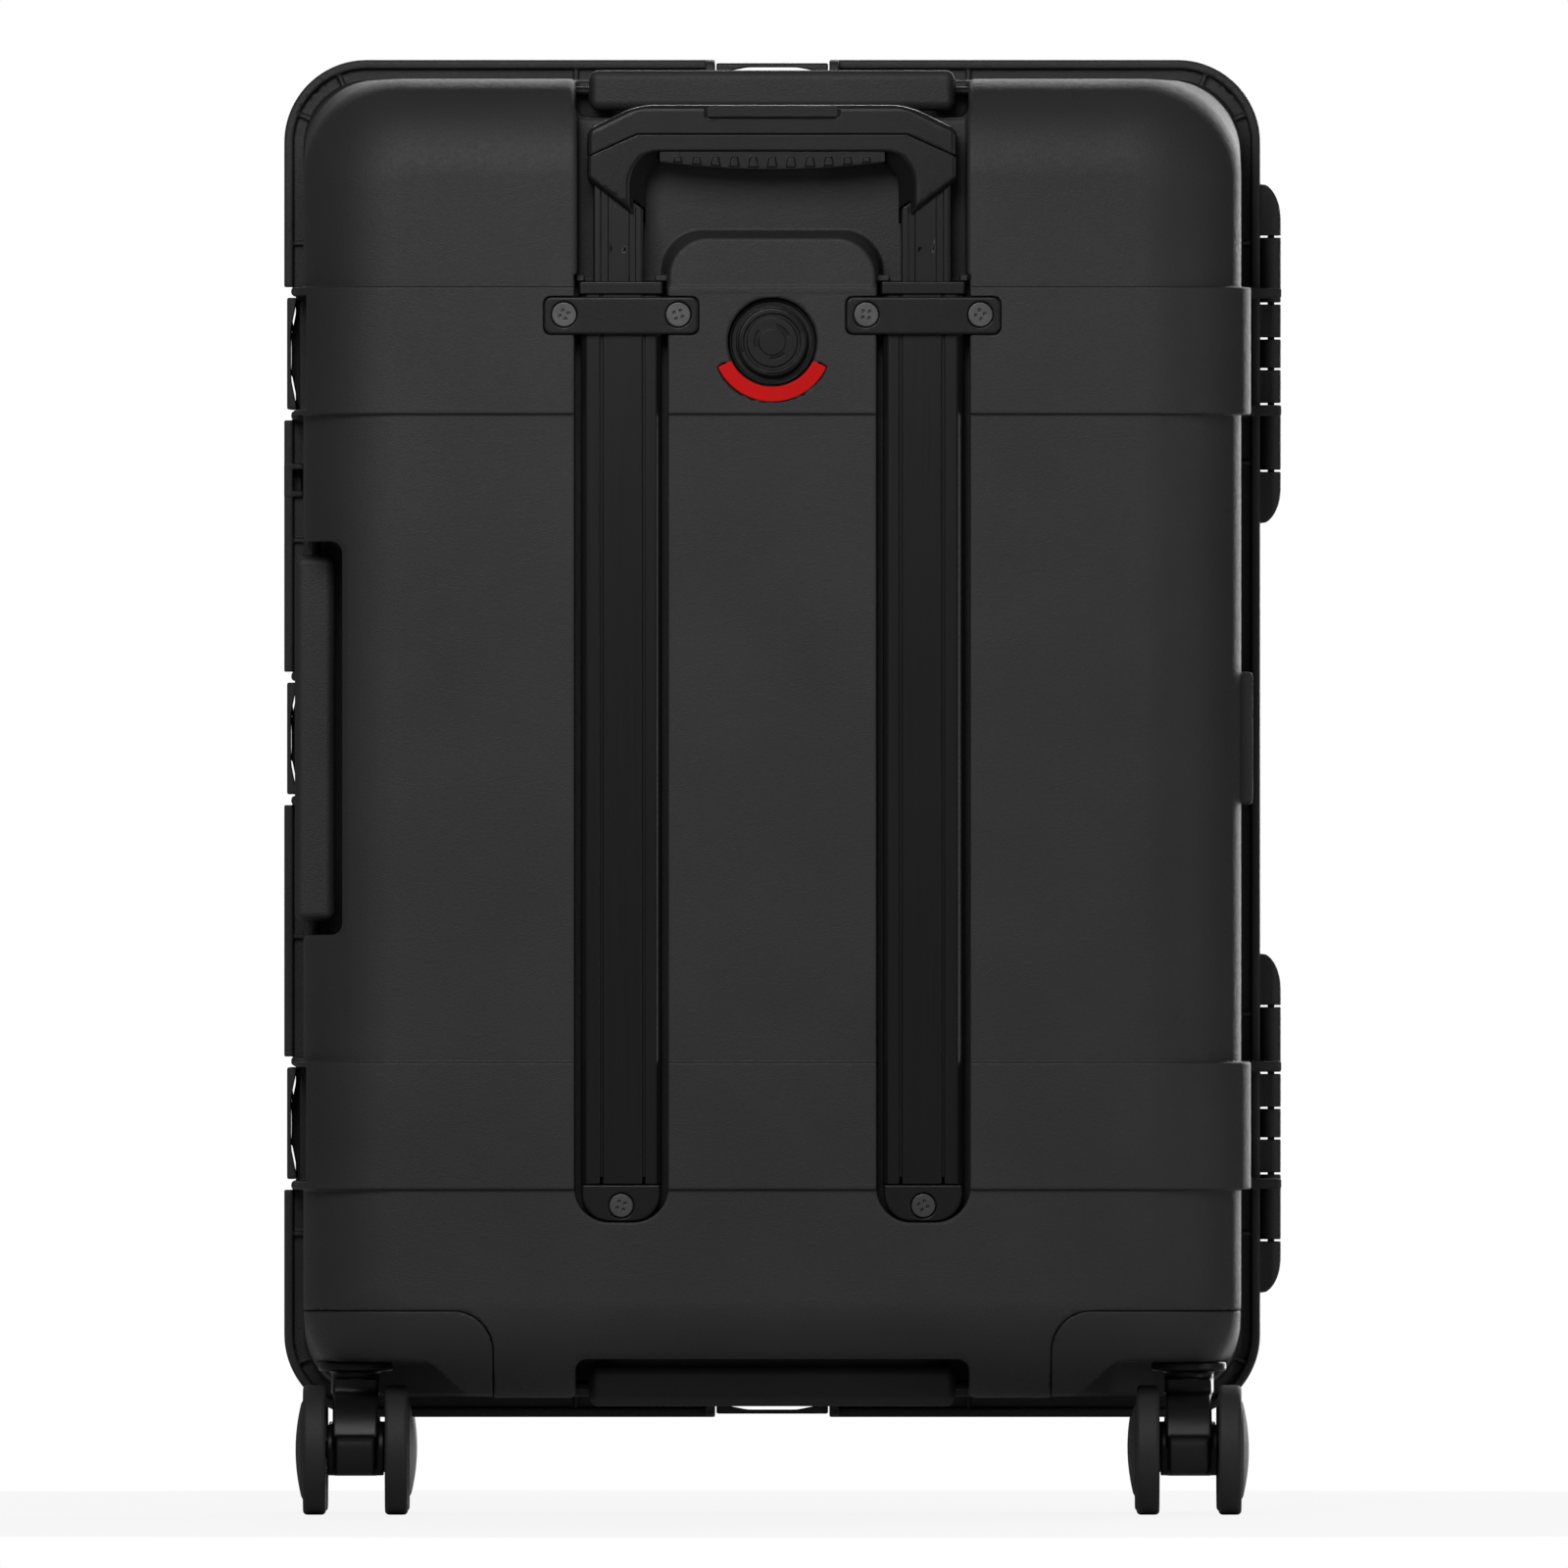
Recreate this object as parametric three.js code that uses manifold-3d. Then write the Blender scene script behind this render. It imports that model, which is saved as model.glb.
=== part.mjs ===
// Hard, upright equipment case on four swivelling twin-wheel casters.
//
// Two moulded shells meet at a vertical parting plane. Two pinned hinges join them on the
// right, and five draw latches close them: three on the left, one on top and one below.
// The rear shell carries a telescopic pull handle, three fold-out carry handles and a
// pressure valve. Each shell has a caster under both of its lower corners.
//
// Millimetres, +Z up. The rear shell faces -Y and the lid faces +Y; the hinges are at +X.
// The pieces are drawn in the case frame: X = 0 midway between the side walls, Y = 0 at the
// parting plane and Z = 0 at the floor. The exported group centres the whole box on X and Y.

import * as THREE from 'three';
import { mergeVertices } from 'three/addons/utils/BufferGeometryUtils.js';
import Module from 'manifold-3d';

const wasm = await Module();
wasm.setup();

// ---------------------------------------------------------------------------------------
// Driving dimensions
// ---------------------------------------------------------------------------------------

const CENTRE_Z = 395; // height of the shells' centre above the floor
const WALL = 3.5; // moulded wall thickness
const GAP = 0.3; // play between pieces that lie against each other
const SEAM = 0.25; // each shell's distance from the parting plane

const SHELL = {
  halfWidth: 238.5, halfHeight: 335.5, mouthRadius: 31.5, backRadius: 58, leastRadius: 6, fillet: 50,
};
const REAR = { side: -1, depth: 160 };
const LID = { side: 1, depth: 134 };

const RIM = { halfWidth: 248.75, halfHeight: 346, radius: 42, plate: 8, bead: 12, beadWidth: 4.5 };
const RIM_RIB = { thickness: 2.4, across: 100, right: [140.6, 252.6], left: [101, 252.6] };
const SEAL = { outer: 8.8, inner: 12, thickness: 3, play: 0.25 };
const PADLOCK = { z: 526.75, half: 8.5, slotHalf: 5.5, slot: [-244.6, -241] };

const BAND = { near: 164.6, far: 229.5, rise: 2, halfWidth: 243.5, rib: 5, ribReach: 259.5 };
const BAND_RIB_DEPTH = [9, 45];
const BAND_TAB = { halfWidth: 52.5, bottom: 626, top: 650.25, radius: 20 };
const SIDE_PAD = { half: 33.75, x: 244.5, depth: 110 };
const LID_RIBS = { places: [-150, -50, 50, 150], width: 30, overrun: 1 };

const HINGE = {
  x: 254.5, offsetZ: 196.3, barrel: 5.4, pin: 1.75, bore: 2.05, boreHalf: 100,
  knuckleGap: 1, leafOverlap: 2.5,
};
const KNUCKLES = [27.2, 34.1, 17.85, 15.6, 17.85, 34.1, 27.2]; // rear, lid, rear ... from the top

const LATCH = {
  half: 28.5, cut: 29.3, guard: 4.7, guardRise: 10.25, guardDepth: 20, sunk: 2, corner: 2,
  inner: 3.6, outer: 7.5, tip: -13, pivotX: 1, pivotY: 32, barrel: 4.2, pin: 1.5, bore: 1.8,
};
const LATCH_POCKET = { x: -4, y: [26, 38], rearCut: 165, lidCut: 44, rimEdge: 2.75 };
const LATCH_LUG = { half: 5, x: 4.5, pinEnd: 33.5, long: 5 };

const HANDLE = {
  half: 92.5, back: -16, front: 5.5, far: -110, near: -80, armInner: 80,
  armBack: -11.5, armFront: -0.5, pivotX: -6, pivotY: -52, rod: 2.5, bore: 2.8, rodHalf: 102.5,
};
const HANDLE_RECESS = { half: 100, floor: -20, near: -44, boss: 6, bossEnd: 106.5 };

const RAIL = {
  x: 76.75, halfWidth: 20.5, y: [-157.5, -141], z: [168.5, 627], cavity: [17, 6.8], edge: 1.5,
};
const RAIL_COLLAR = { halfWidth: 21.7, y: [-158, -140.4], z: 620.4 };
const TUBE_Y = -149.25;
const TUBE_EDGE = 1; // corner radius outside; half of it inside
const MID_TUBE = { half: [16.7, 6.5], z: [172, 622], cavity: [13, 5] };
const INNER_TUBE = { x: 78.2, half: [12.7, 4.7], z: [176, 683], cavity: [11, 3] };
const CHANNEL = { inner: 53, outer: 100.5, z: [149, 630], floor: -140, radius: 18 };
const GRIP_RECESS = { halfWidth: 99, bottom: 627, floor: -130 };
const BUMPER = { x: [[53.5, 59.5], [95.5, 99.5]], y: -152, rise: [0.5, 3.5] };

const CLAMP = {
  halfWidth: 39.25, z: [600.25, 619.25], y: [-162, -158], radius: 4, pocket: -157.7, play: 0.4,
};
const CLAMP_SCREW = {
  offset: 29, z: 610.25, head: 6.25, headY: [-161.9, -159.9], length: 12, bossEnd: -144,
};
const RAIL_CAP = { halfWidth: 20, z: [149.4, 168.2], y: [-157, -140.4], radius: 14 };
const CAP_SCREW = { z: 157.5, head: 6, headY: [-156.9, -154.9], length: 20, bossEnd: -132.5 };
const SCREW = { shank: 2.5, hole: 2.8, sink: 6.6, boss: 6, bossFloor: 1.5 };

const GRIP = {
  y: [-158, -134], top: 716.75, topHalf: 68.5, shoulderHalf: 94, shoulderZ: 704.25,
  sideZ: 681.25, tipHalf: 66, tipZ: 659.75, openHalf: 64.25, openTop: 687.75,
  openRadius: 12, topRadius: 10, shoulderRadius: 8, sideRadius: 5, tipRadius: 1,
  seamZ: 702, seamSideZ: 690.5,
};
const GRIP_PLATE = { half: 34, drop: [0.4, 7], radius: 3, rise: 0.5 };
const RELEASE = {
  half: 57.5, z: [683.75, 693.25], y: [-158.5, -137], travel: 3, play: 0.4,
  ribs: 11, ribShare: 0.6, ribRise: 1,
};

const VALVE = {
  z: 596.4, recess: 22.5, recessY: -152.5, bodyRadius: 22.1, bodyY: [-155.5, -152.8],
  stem: 10, stemEnd: -145, boreEnd: -120, cap: 17.5, capY: [-161.5, -155.8],
  lip: 2, dish: 1.2, button: 7,
};
const BADGE = {
  inner: 22.9, outer: 30.5, y: [-162.6, -161.2], from: -155, to: -25,
  seat: -160.9, seatOverlap: 0.5, seatPlay: 1, // play at the ends is in degrees
};

const CASTER = {
  x: 212, rearY: -100, lidY: 76, trail: 16, axleZ: 33, wheel: 33, sides: 16,
  ceiling: 78, pin: 4, pinTop: 84, flange: 19, flangeZ: [73, 77.7], stem: 12.5,
};
const FORK = { half: 11.25, hub: 13, hubEnd: 14.5, axle: 4, axleEnd: 28.8 };
const FENDER = { radius: 28, from: 104, to: 184, toe: -8, heel: 4, sink: 5 }; // angles in degrees
const SHIN = { half: 10.25, radius: 26, from: 162, to: 205, heel: -11.25 };
const WHEEL = {
  inner: 15, tread: 27, hub: 30.5, hubFace: 12, edge: [2, 1.5], bore: 4.3, boreEnd: 29.3,
};
const HOUSING = { x: [142, 240], z: [59, 103.75], radius: 20, roof: 86, wall: 4 };
const REAR_WELL = { radius: 60, near: 36 };
const LID_WELL = { radius: 59, near: 13.5 };

const FAR = 400; // reach of cutting blocks past the case

// ---------------------------------------------------------------------------------------
// Finishes
// ---------------------------------------------------------------------------------------

const finish = (color, roughness, metalness = 0) =>
  new THREE.MeshStandardMaterial({ color, roughness, metalness });

const SHELL_PLASTIC = finish(0x2c2c2c, 0.7);
const TRIM_PLASTIC = finish(0x1f1f1f, 0.55);
const RAIL_ALUMINIUM = finish(0x141414, 0.3, 0.6);
const STEEL = finish(0x8c8c8c, 0.35, 1);
const BADGE_RED = finish(0xb40a0a, 0.45);
const SEAL_RUBBER = finish(0x101010, 0.9);
const TYRE_RUBBER = finish(0x252525, 0.8);

// ---------------------------------------------------------------------------------------
// Geometry helpers
// ---------------------------------------------------------------------------------------

/** Turns a closed three.js geometry into a solid that can be joined and cut. */
function toSolid(geometry) {
  const bare = geometry.clone();
  bare.deleteAttribute('normal');
  bare.deleteAttribute('uv');
  const merged = mergeVertices(bare, 1e-4);
  const index = merged.getIndex().array;
  const triangles = [];
  for (let i = 0; i < index.length; i += 3) {
    const [a, b, c] = [index[i], index[i + 1], index[i + 2]];
    if (a !== b && b !== c && c !== a) triangles.push(a, b, c);
  }
  const vertProperties = new Float32Array(merged.getAttribute('position').array);
  return new wasm.Manifold(new wasm.Mesh({
    numProp: 3,
    vertProperties,
    triVerts: new Uint32Array(triangles),
  }));
}

/** Turns a solid back into a three.js geometry. */
function toGeometry(manifold) {
  const mesh = manifold.getMesh();
  const geometry = new THREE.BufferGeometry();
  geometry.setAttribute('position', new THREE.BufferAttribute(mesh.vertProperties, 3));
  geometry.setIndex(new THREE.BufferAttribute(mesh.triVerts, 1));
  geometry.computeVertexNormals();
  return geometry;
}

const join = (geometries) => geometries.map(toSolid).reduce((all, next) => all.add(next));
const cut = (body, geometries) => geometries.map(toSolid).reduce((all, next) => all.subtract(next), body);

/** A box between two limits on each axis. */
function block(x, y, z) {
  const geometry = new THREE.BoxGeometry(x[1] - x[0], y[1] - y[0], z[1] - z[0]);
  geometry.translate((x[0] + x[1]) / 2, (y[0] + y[1]) / 2, (z[0] + z[1]) / 2);
  return geometry;
}

/** A round bar along an axis; centre gives the other two coordinates in X, Y, Z order. */
function bar(axis, centre, radius, span, sides = 12) {
  const geometry = new THREE.CylinderGeometry(radius, radius, span[1] - span[0], sides);
  const middle = (span[0] + span[1]) / 2;
  if (axis === 'x') geometry.rotateZ(Math.PI / 2).translate(middle, centre[0], centre[1]);
  if (axis === 'y') geometry.translate(centre[0], middle, centre[1]);
  if (axis === 'z') geometry.rotateX(Math.PI / 2).translate(centre[0], centre[1], middle);
  return geometry;
}

/** A closed outline through corners [x, y, radius], listed anticlockwise. */
function outline(corners) {
  const shape = new THREE.Shape();
  corners.forEach(([x, y, radius = 0], i) => {
    const at = new THREE.Vector2(x, y);
    const before = new THREE.Vector2(...corners.at(i - 1)).sub(at).normalize();
    const after = new THREE.Vector2(...corners[(i + 1) % corners.length]).sub(at).normalize();
    const half = Math.acos(THREE.MathUtils.clamp(before.dot(after), -1, 1)) / 2;
    const start = at.clone().addScaledVector(before, radius / Math.tan(half));
    if (i === 0) shape.moveTo(start.x, start.y);
    else shape.lineTo(start.x, start.y);
    if (radius > 0) {
      const end = at.clone().addScaledVector(after, radius / Math.tan(half));
      const middle = before.clone().add(after).normalize();
      const centre = at.clone().addScaledVector(middle, radius / Math.sin(half));
      const from = Math.atan2(start.y - centre.y, start.x - centre.x);
      const to = Math.atan2(end.y - centre.y, end.x - centre.x);
      shape.absarc(centre.x, centre.y, radius, from, to, before.cross(after) > 0);
    }
  });
  shape.closePath();
  return shape;
}

/** A rectangle with rounded corners, between two limits each way. */
const roundedRectangle = (x, y, radius) => outline([
  [x[0], y[0], radius], [x[1], y[0], radius], [x[1], y[1], radius], [x[0], y[1], radius],
]);

// Where an extruded outline's x, y and depth go: plan is seen from above, elevation from
// the rear (its depth runs towards -Y), and profile from the right.
const PLANES = {
  plan: [[1, 0, 0], [0, 1, 0], [0, 0, 1]],
  elevation: [[1, 0, 0], [0, 0, 1], [0, -1, 0]],
  profile: [[0, 1, 0], [0, 0, 1], [1, 0, 0]],
};

/** Extrudes an outline drawn in a plane between two limits on the axis across that plane. */
function extrude(shape, plane, span, curveSegments = 2) {
  const depth = span[1] - span[0];
  const geometry = new THREE.ExtrudeGeometry(shape, { depth, bevelEnabled: false, curveSegments });
  geometry.translate(0, 0, plane === 'elevation' ? -span[1] : span[0]);
  const axes = PLANES[plane].map((axis) => new THREE.Vector3(...axis));
  return geometry.applyMatrix4(new THREE.Matrix4().makeBasis(...axes));
}

/** An outline with holes. */
function pierced(shape, holes) {
  shape.holes.push(...holes);
  return shape;
}

const CORNERS = [[1, -1, -90], [1, 1, 0], [-1, 1, 90], [-1, -1, 180]]; // side, end, first angle
const CORNER_STEPS = 4;

/** A ring of points of a rounded rectangle about the case centre, anticlockwise from the rear. */
function ring({ halfWidth, halfHeight, radius, y }) {
  const steps = Array.from({ length: CORNER_STEPS + 1 }, (_, i) => (90 * i) / CORNER_STEPS);
  return CORNERS.flatMap(([side, end, first]) => steps.map((step) => {
    const angle = THREE.MathUtils.degToRad(first + step);
    return new THREE.Vector3(
      side * (halfWidth - radius) + radius * Math.cos(angle),
      y,
      CENTRE_Z + end * (halfHeight - radius) + radius * Math.sin(angle),
    );
  }));
}

/** A closed skin through rings that have equally many points, listed from +Y to -Y. */
function loft(rings) {
  const count = rings[0].length;
  const positions = rings.flat().flatMap((p) => p.toArray());
  const index = [];
  for (let level = 0; level + 1 < rings.length; level += 1) {
    for (let i = 0; i < count; i += 1) {
      const [a, b] = [level * count + i, level * count + ((i + 1) % count)];
      index.push(a, b, a + count, b, b + count, a + count);
    }
  }
  const last = (rings.length - 1) * count;
  for (let i = 1; i + 1 < count; i += 1) {
    index.push(0, i + 1, i);
    index.push(last, last + i, last + i + 1);
  }
  const geometry = new THREE.BufferGeometry();
  geometry.setAttribute('position', new THREE.Float32BufferAttribute(positions, 3));
  geometry.setIndex(index);
  return geometry;
}

/** Limits across the parting plane, given as distances from it into one half. */
const depthSpan = (half, near, far) => (half.side < 0 ? [-far, -near] : [near, far]);

// ---------------------------------------------------------------------------------------
// The three sides that carry latches and handles. In a side's own frame X runs outwards
// from the shell wall, Y is the case's Y and Z runs along the edge.
// ---------------------------------------------------------------------------------------

const SIDES = {
  side: { turn: Math.PI, wall: SHELL.halfWidth },
  top: { turn: -Math.PI / 2, wall: SHELL.halfHeight },
  bottom: { turn: Math.PI / 2, wall: SHELL.halfHeight },
};

/** The frame of a side, at a place along its edge. */
function sideFrame({ side, along = 0 }) {
  const frame = new THREE.Group();
  frame.position.set(0, 0, CENTRE_Z);
  frame.rotation.y = SIDES[side].turn;
  frame.updateMatrix();
  const shift = new THREE.Matrix4().makeTranslation(SIDES[side].wall, 0, along);
  return frame.matrix.clone().multiply(shift);
}

const placed = (geometries, matrix) => geometries.map((g) => g.applyMatrix4(matrix));

const LATCHES = [
  { name: 'side_upper', side: 'side', along: -HINGE.offsetZ },
  { name: 'side_middle', side: 'side', along: 0 },
  { name: 'side_lower', side: 'side', along: HINGE.offsetZ },
  { name: 'top', side: 'top', along: 0 },
  { name: 'bottom', side: 'bottom', along: 0 },
];
const HANDLES = ['side', 'top', 'bottom'].map((side) => ({ name: side, side }));
const CASTERS = [REAR, LID].flatMap((half) => [-1, 1].map((hand) => ({
  half,
  hand,
  name: `${half === REAR ? 'rear' : 'front'}_${hand < 0 ? 'left' : 'right'}`,
  y: half === REAR ? CASTER.rearY : CASTER.lidY,
  well: half === REAR ? REAR_WELL : LID_WELL,
})));

// ---------------------------------------------------------------------------------------
// Shells
// ---------------------------------------------------------------------------------------

/** The rounded tub of one half, inset by a distance from its outer surface. */
function tub(half, inset) {
  const { fillet } = SHELL;
  const steps = [0, 22.5, 45, 67.5, 90].map((degrees) => THREE.MathUtils.degToRad(degrees));
  const levels = [
    { depth: inset ? -1 : SEAM, drawn: 0 },
    ...steps.map((angle) => ({
      depth: half.depth - fillet + (fillet - inset) * Math.sin(angle),
      drawn: fillet * (1 - Math.cos(angle)) + inset * Math.cos(angle) - inset,
    })),
  ];
  const rings = levels.map(({ depth, drawn }) => {
    const share = Math.max(depth, 0) / half.depth;
    const corner = THREE.MathUtils.lerp(SHELL.mouthRadius, SHELL.backRadius, share);
    return ring({
      halfWidth: SHELL.halfWidth - drawn - inset,
      halfHeight: SHELL.halfHeight - drawn - inset,
      radius: Math.max(corner - drawn - inset, SHELL.leastRadius),
      y: half.side * depth,
    });
  });
  return loft(half.side < 0 ? rings : rings.reverse());
}

const rimOutline = (inset) => roundedRectangle(
  [inset - RIM.halfWidth, RIM.halfWidth - inset],
  [CENTRE_Z - RIM.halfHeight + inset, CENTRE_Z + RIM.halfHeight - inset],
  RIM.radius - inset,
);

/** The flange round the mouth, with its outer bead and the ribs across its trough. */
function rim(half) {
  const bead = pierced(rimOutline(0), [rimOutline(RIM.beadWidth)]);
  const ribDepth = depthSpan(half, RIM.plate - 1, RIM.bead - 1);
  const t = RIM_RIB.thickness / 2;
  const ribs = [];
  for (const x of [-RIM_RIB.across, RIM_RIB.across]) {
    for (const sign of [-1, 1]) {
      const reach = [SHELL.halfHeight - 1, RIM.halfHeight - 1].map((r) => CENTRE_Z + sign * r);
      ribs.push(block([x - t, x + t], ribDepth, reach.sort((a, b) => a - b)));
    }
  }
  for (const [hand, places] of [[-1, RIM_RIB.left], [1, RIM_RIB.right]]) {
    const reach = [SHELL.halfWidth - 1, RIM.halfWidth - 1].map((r) => hand * r).sort((a, b) => a - b);
    for (const z of places.flatMap((p) => [CENTRE_Z - p, CENTRE_Z + p])) {
      ribs.push(block(reach, ribDepth, [z - t, z + t]));
    }
  }
  return [
    extrude(rimOutline(0), 'elevation', depthSpan(half, SEAM, RIM.plate)),
    extrude(bead, 'elevation', depthSpan(half, RIM.plate - 1, RIM.bead)),
    ...ribs,
  ];
}

/** The two raised bands round the tub, with their edge ribs on the hinge side. */
function bands(half) {
  const depth = half.depth + BAND.rise;
  const fillet = SHELL.fillet + BAND.rise;
  const back = half.side * depth;
  const front = half.side * (SEAM + 1);
  const corners = [
    [-BAND.halfWidth, front], [-BAND.halfWidth, back, fillet],
    [BAND.halfWidth, back, fillet], [BAND.halfWidth, front],
  ];
  const section = outline(half.side < 0 ? corners : corners.reverse());
  return [-1, 1].flatMap((sign) => {
    const ribs = [[BAND.near, BAND.near + BAND.rib], [BAND.far - BAND.rib, BAND.far]].map((span) => {
      const z = span.map((d) => CENTRE_Z + sign * d).sort((a, b) => a - b);
      return block([SHELL.halfWidth - 1, BAND.ribReach], depthSpan(half, ...BAND_RIB_DEPTH), z);
    });
    const z = [BAND.near, BAND.far].map((d) => CENTRE_Z + sign * d).sort((a, b) => a - b);
    return [extrude(section, 'plan', z, 3), ...ribs];
  });
}

/** The upper band's raised tab, which stands in the grip recess, or the hollow behind it. */
function bandTab(inset = 0) {
  const { bottom } = BAND_TAB;
  const [halfWidth, top, radius] = [BAND_TAB.halfWidth, BAND_TAB.top, BAND_TAB.radius].map((v) => v - inset);
  const shape = outline([
    [-halfWidth, bottom], [halfWidth, bottom], [halfWidth, top, radius], [-halfWidth, top, radius],
  ]);
  const back = GRIP_RECESS.floor + (inset ? 2 * inset : 1);
  return extrude(shape, 'elevation', [-REAR.depth - BAND.rise + inset, back]);
}

const sidePad = (half) => block(
  [SHELL.halfWidth - 1, SIDE_PAD.x],
  depthSpan(half, SEAM, Math.min(SIDE_PAD.depth, half.depth - SHELL.fillet)),
  [CENTRE_Z - SIDE_PAD.half, CENTRE_Z + SIDE_PAD.half],
);

/** Heights of each knuckle of a hinge, from the top. */
function knuckles(centreZ) {
  let top = centreZ + KNUCKLES.reduce((a, b) => a + b) / 2;
  return KNUCKLES.map((length) => {
    const z = [top - length + HINGE.knuckleGap / 2, top - HINGE.knuckleGap / 2];
    top -= length;
    return z;
  });
}

const HINGE_CENTRES = [['upper', CENTRE_Z + HINGE.offsetZ], ['lower', CENTRE_Z - HINGE.offsetZ]];

/** One half's hinge knuckles: every other one, starting at the top on the rear shell. */
function hingeKnuckles(half) {
  return HINGE_CENTRES.flatMap(([, z]) => knuckles(z)
    .filter((_, i) => (i % 2 === 0) === (half === REAR))
    .flatMap((span) => [
      bar('z', [HINGE.x, 0], HINGE.barrel, span),
      block([RIM.halfWidth - HINGE.leafOverlap, HINGE.x], depthSpan(half, SEAM, HINGE.barrel), span),
    ]));
}

const hingeBores = () => HINGE_CENTRES.map(([, z]) => bar(
  'z', [HINGE.x, 0], HINGE.bore, [z - HINGE.boreHalf, z + HINGE.boreHalf], 8,
));

/** The boss on the latch side's rim, and the blind slot in its rear half. */
const padlockBoss = (half) => block(
  [-RIM.halfWidth, -SHELL.halfWidth - 0.5],
  depthSpan(half, SEAM, RIM.bead),
  [PADLOCK.z - PADLOCK.half, PADLOCK.z + PADLOCK.half],
);
const padlockSlot = () => block(
  PADLOCK.slot, [-20, 20], [PADLOCK.z - PADLOCK.slotHalf, PADLOCK.z + PADLOCK.slotHalf],
);

/** Guard blocks beside a latch, in the side's frame. */
const latchGuards = (half) => [-1, 1].map((sign) => block(
  [-LATCH.sunk, LATCH.guardRise],
  depthSpan(half, SEAM, LATCH.guardDepth),
  [LATCH.cut, LATCH.cut + LATCH.guard].map((z) => sign * z).sort((a, b) => a - b),
));

/** What a latch clears away: the rim's edge and any band below it, in the side's frame. */
const latchClearance = (half) => {
  const z = [-LATCH.cut, LATCH.cut];
  const reach = half === REAR ? LATCH_POCKET.rearCut : LATCH_POCKET.lidCut;
  return [
    block([LATCH_POCKET.rimEdge, FAR], depthSpan(half, -1, RIM.bead + 1), z),
    block([0, FAR], depthSpan(half, RIM.plate, reach), z),
  ];
};
const latchPocket = (grow = 0) => block(
  [LATCH_POCKET.x - grow, FAR],
  [LATCH_POCKET.y[0] - grow, LATCH_POCKET.y[1] + grow],
  [-LATCH.cut - grow, LATCH.cut + grow],
);

/** The lid's two lugs that hold a latch's pivot pin, in the side's frame. */
const latchLugs = () => [-1, 1].map((sign) => block(
  [-LATCH.sunk, LATCH_LUG.x],
  [LATCH.pivotY - LATCH_LUG.half, LATCH.pivotY + LATCH_LUG.half],
  [LATCH.cut, LATCH.cut + LATCH_LUG.long].map((z) => sign * z).sort((a, b) => a - b),
));
const latchPinBore = () => bar(
  'z', [LATCH.pivotX, LATCH.pivotY], LATCH.bore, [-LATCH_LUG.pinEnd - GAP, LATCH_LUG.pinEnd + GAP], 8,
);

const handleRecess = (grow = 0) => block(
  [HANDLE_RECESS.floor - grow, FAR],
  [-FAR, HANDLE_RECESS.near + grow],
  [-HANDLE_RECESS.half - grow, HANDLE_RECESS.half + grow],
);
const handleRodBore = () => bar(
  'z', [HANDLE.pivotX, HANDLE.pivotY], HANDLE.bore, [-HANDLE.rodHalf - GAP, HANDLE.rodHalf + GAP], 10,
);
const handleRodBosses = () => [-1, 1].map((sign) => block(
  [HANDLE.pivotX - HANDLE_RECESS.boss, HANDLE.pivotX + HANDLE_RECESS.boss],
  [HANDLE.pivotY - HANDLE_RECESS.boss, HANDLE.pivotY + HANDLE_RECESS.boss],
  [HANDLE_RECESS.half, HANDLE_RECESS.bossEnd].map((z) => sign * z).sort((a, b) => a - b),
));

/** The block that a caster housing fills in the shell's lower corner. */
function housingBlock({ half, hand, well }, grow = 0) {
  const [inner, outer] = HOUSING.x;
  const corners = [
    [inner - grow, -FAR], [outer + FAR, -FAR], [outer + FAR, HOUSING.z[1] + grow],
    [inner - grow, HOUSING.z[1] + grow, HOUSING.radius + grow],
  ];
  const mirrored = corners.map(([x, z, r]) => [-x, z, r]).reverse();
  const shape = outline(hand > 0 ? corners : mirrored);
  return extrude(shape, 'elevation', depthSpan(half, well.near - grow, FAR));
}

/** The two channels that the pull handle's rails lie in. */
const railChannels = (grow = 0) => [-1, 1].map((hand) => {
  const x = [CHANNEL.inner - grow, CHANNEL.outer + grow].map((v) => hand * v).sort((a, b) => a - b);
  const radius = CHANNEL.radius + grow;
  const [low, high] = [CHANNEL.z[0] - grow, CHANNEL.z[1] + grow];
  const shape = outline([[x[0], low, radius], [x[1], low, radius], [x[1], high], [x[0], high]]);
  return extrude(shape, 'elevation', [-FAR, CHANNEL.floor + grow]);
});
const gripRecess = (grow = 0) => block(
  [-GRIP_RECESS.halfWidth - grow, GRIP_RECESS.halfWidth + grow],
  [-FAR, GRIP_RECESS.floor + grow],
  [GRIP_RECESS.bottom - grow, CENTRE_Z + FAR],
);
const clampPockets = (grow = 0) => [-1, 1].map((hand) => extrude(
  roundedRectangle(
    [-1, 1].map((end) => hand * RAIL.x + end * (CLAMP.halfWidth + CLAMP.play + grow)),
    [CLAMP.z[0] - CLAMP.play - grow, CLAMP.z[1] + CLAMP.play + grow],
    CLAMP.radius + grow,
  ),
  'elevation',
  [-FAR, CLAMP.pocket + grow],
  1,
));

const handName = (hand) => (hand < 0 ? 'left' : 'right');
const CLAMP_SCREWS = [-1, 1].flatMap((hand) => [-1, 1].map((end) => ({
  name: `clamp_screw_${handName(hand)}_${hand * end < 0 ? 'inner' : 'outer'}`,
  x: hand * RAIL.x + end * CLAMP_SCREW.offset,
  ...CLAMP_SCREW,
})));
const CAP_SCREWS = [-1, 1].map((hand) => ({
  name: `cap_screw_${handName(hand)}`,
  x: hand * RAIL.x,
  ...CAP_SCREW,
}));
const SCREWS = [...CLAMP_SCREWS, ...CAP_SCREWS];

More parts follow.
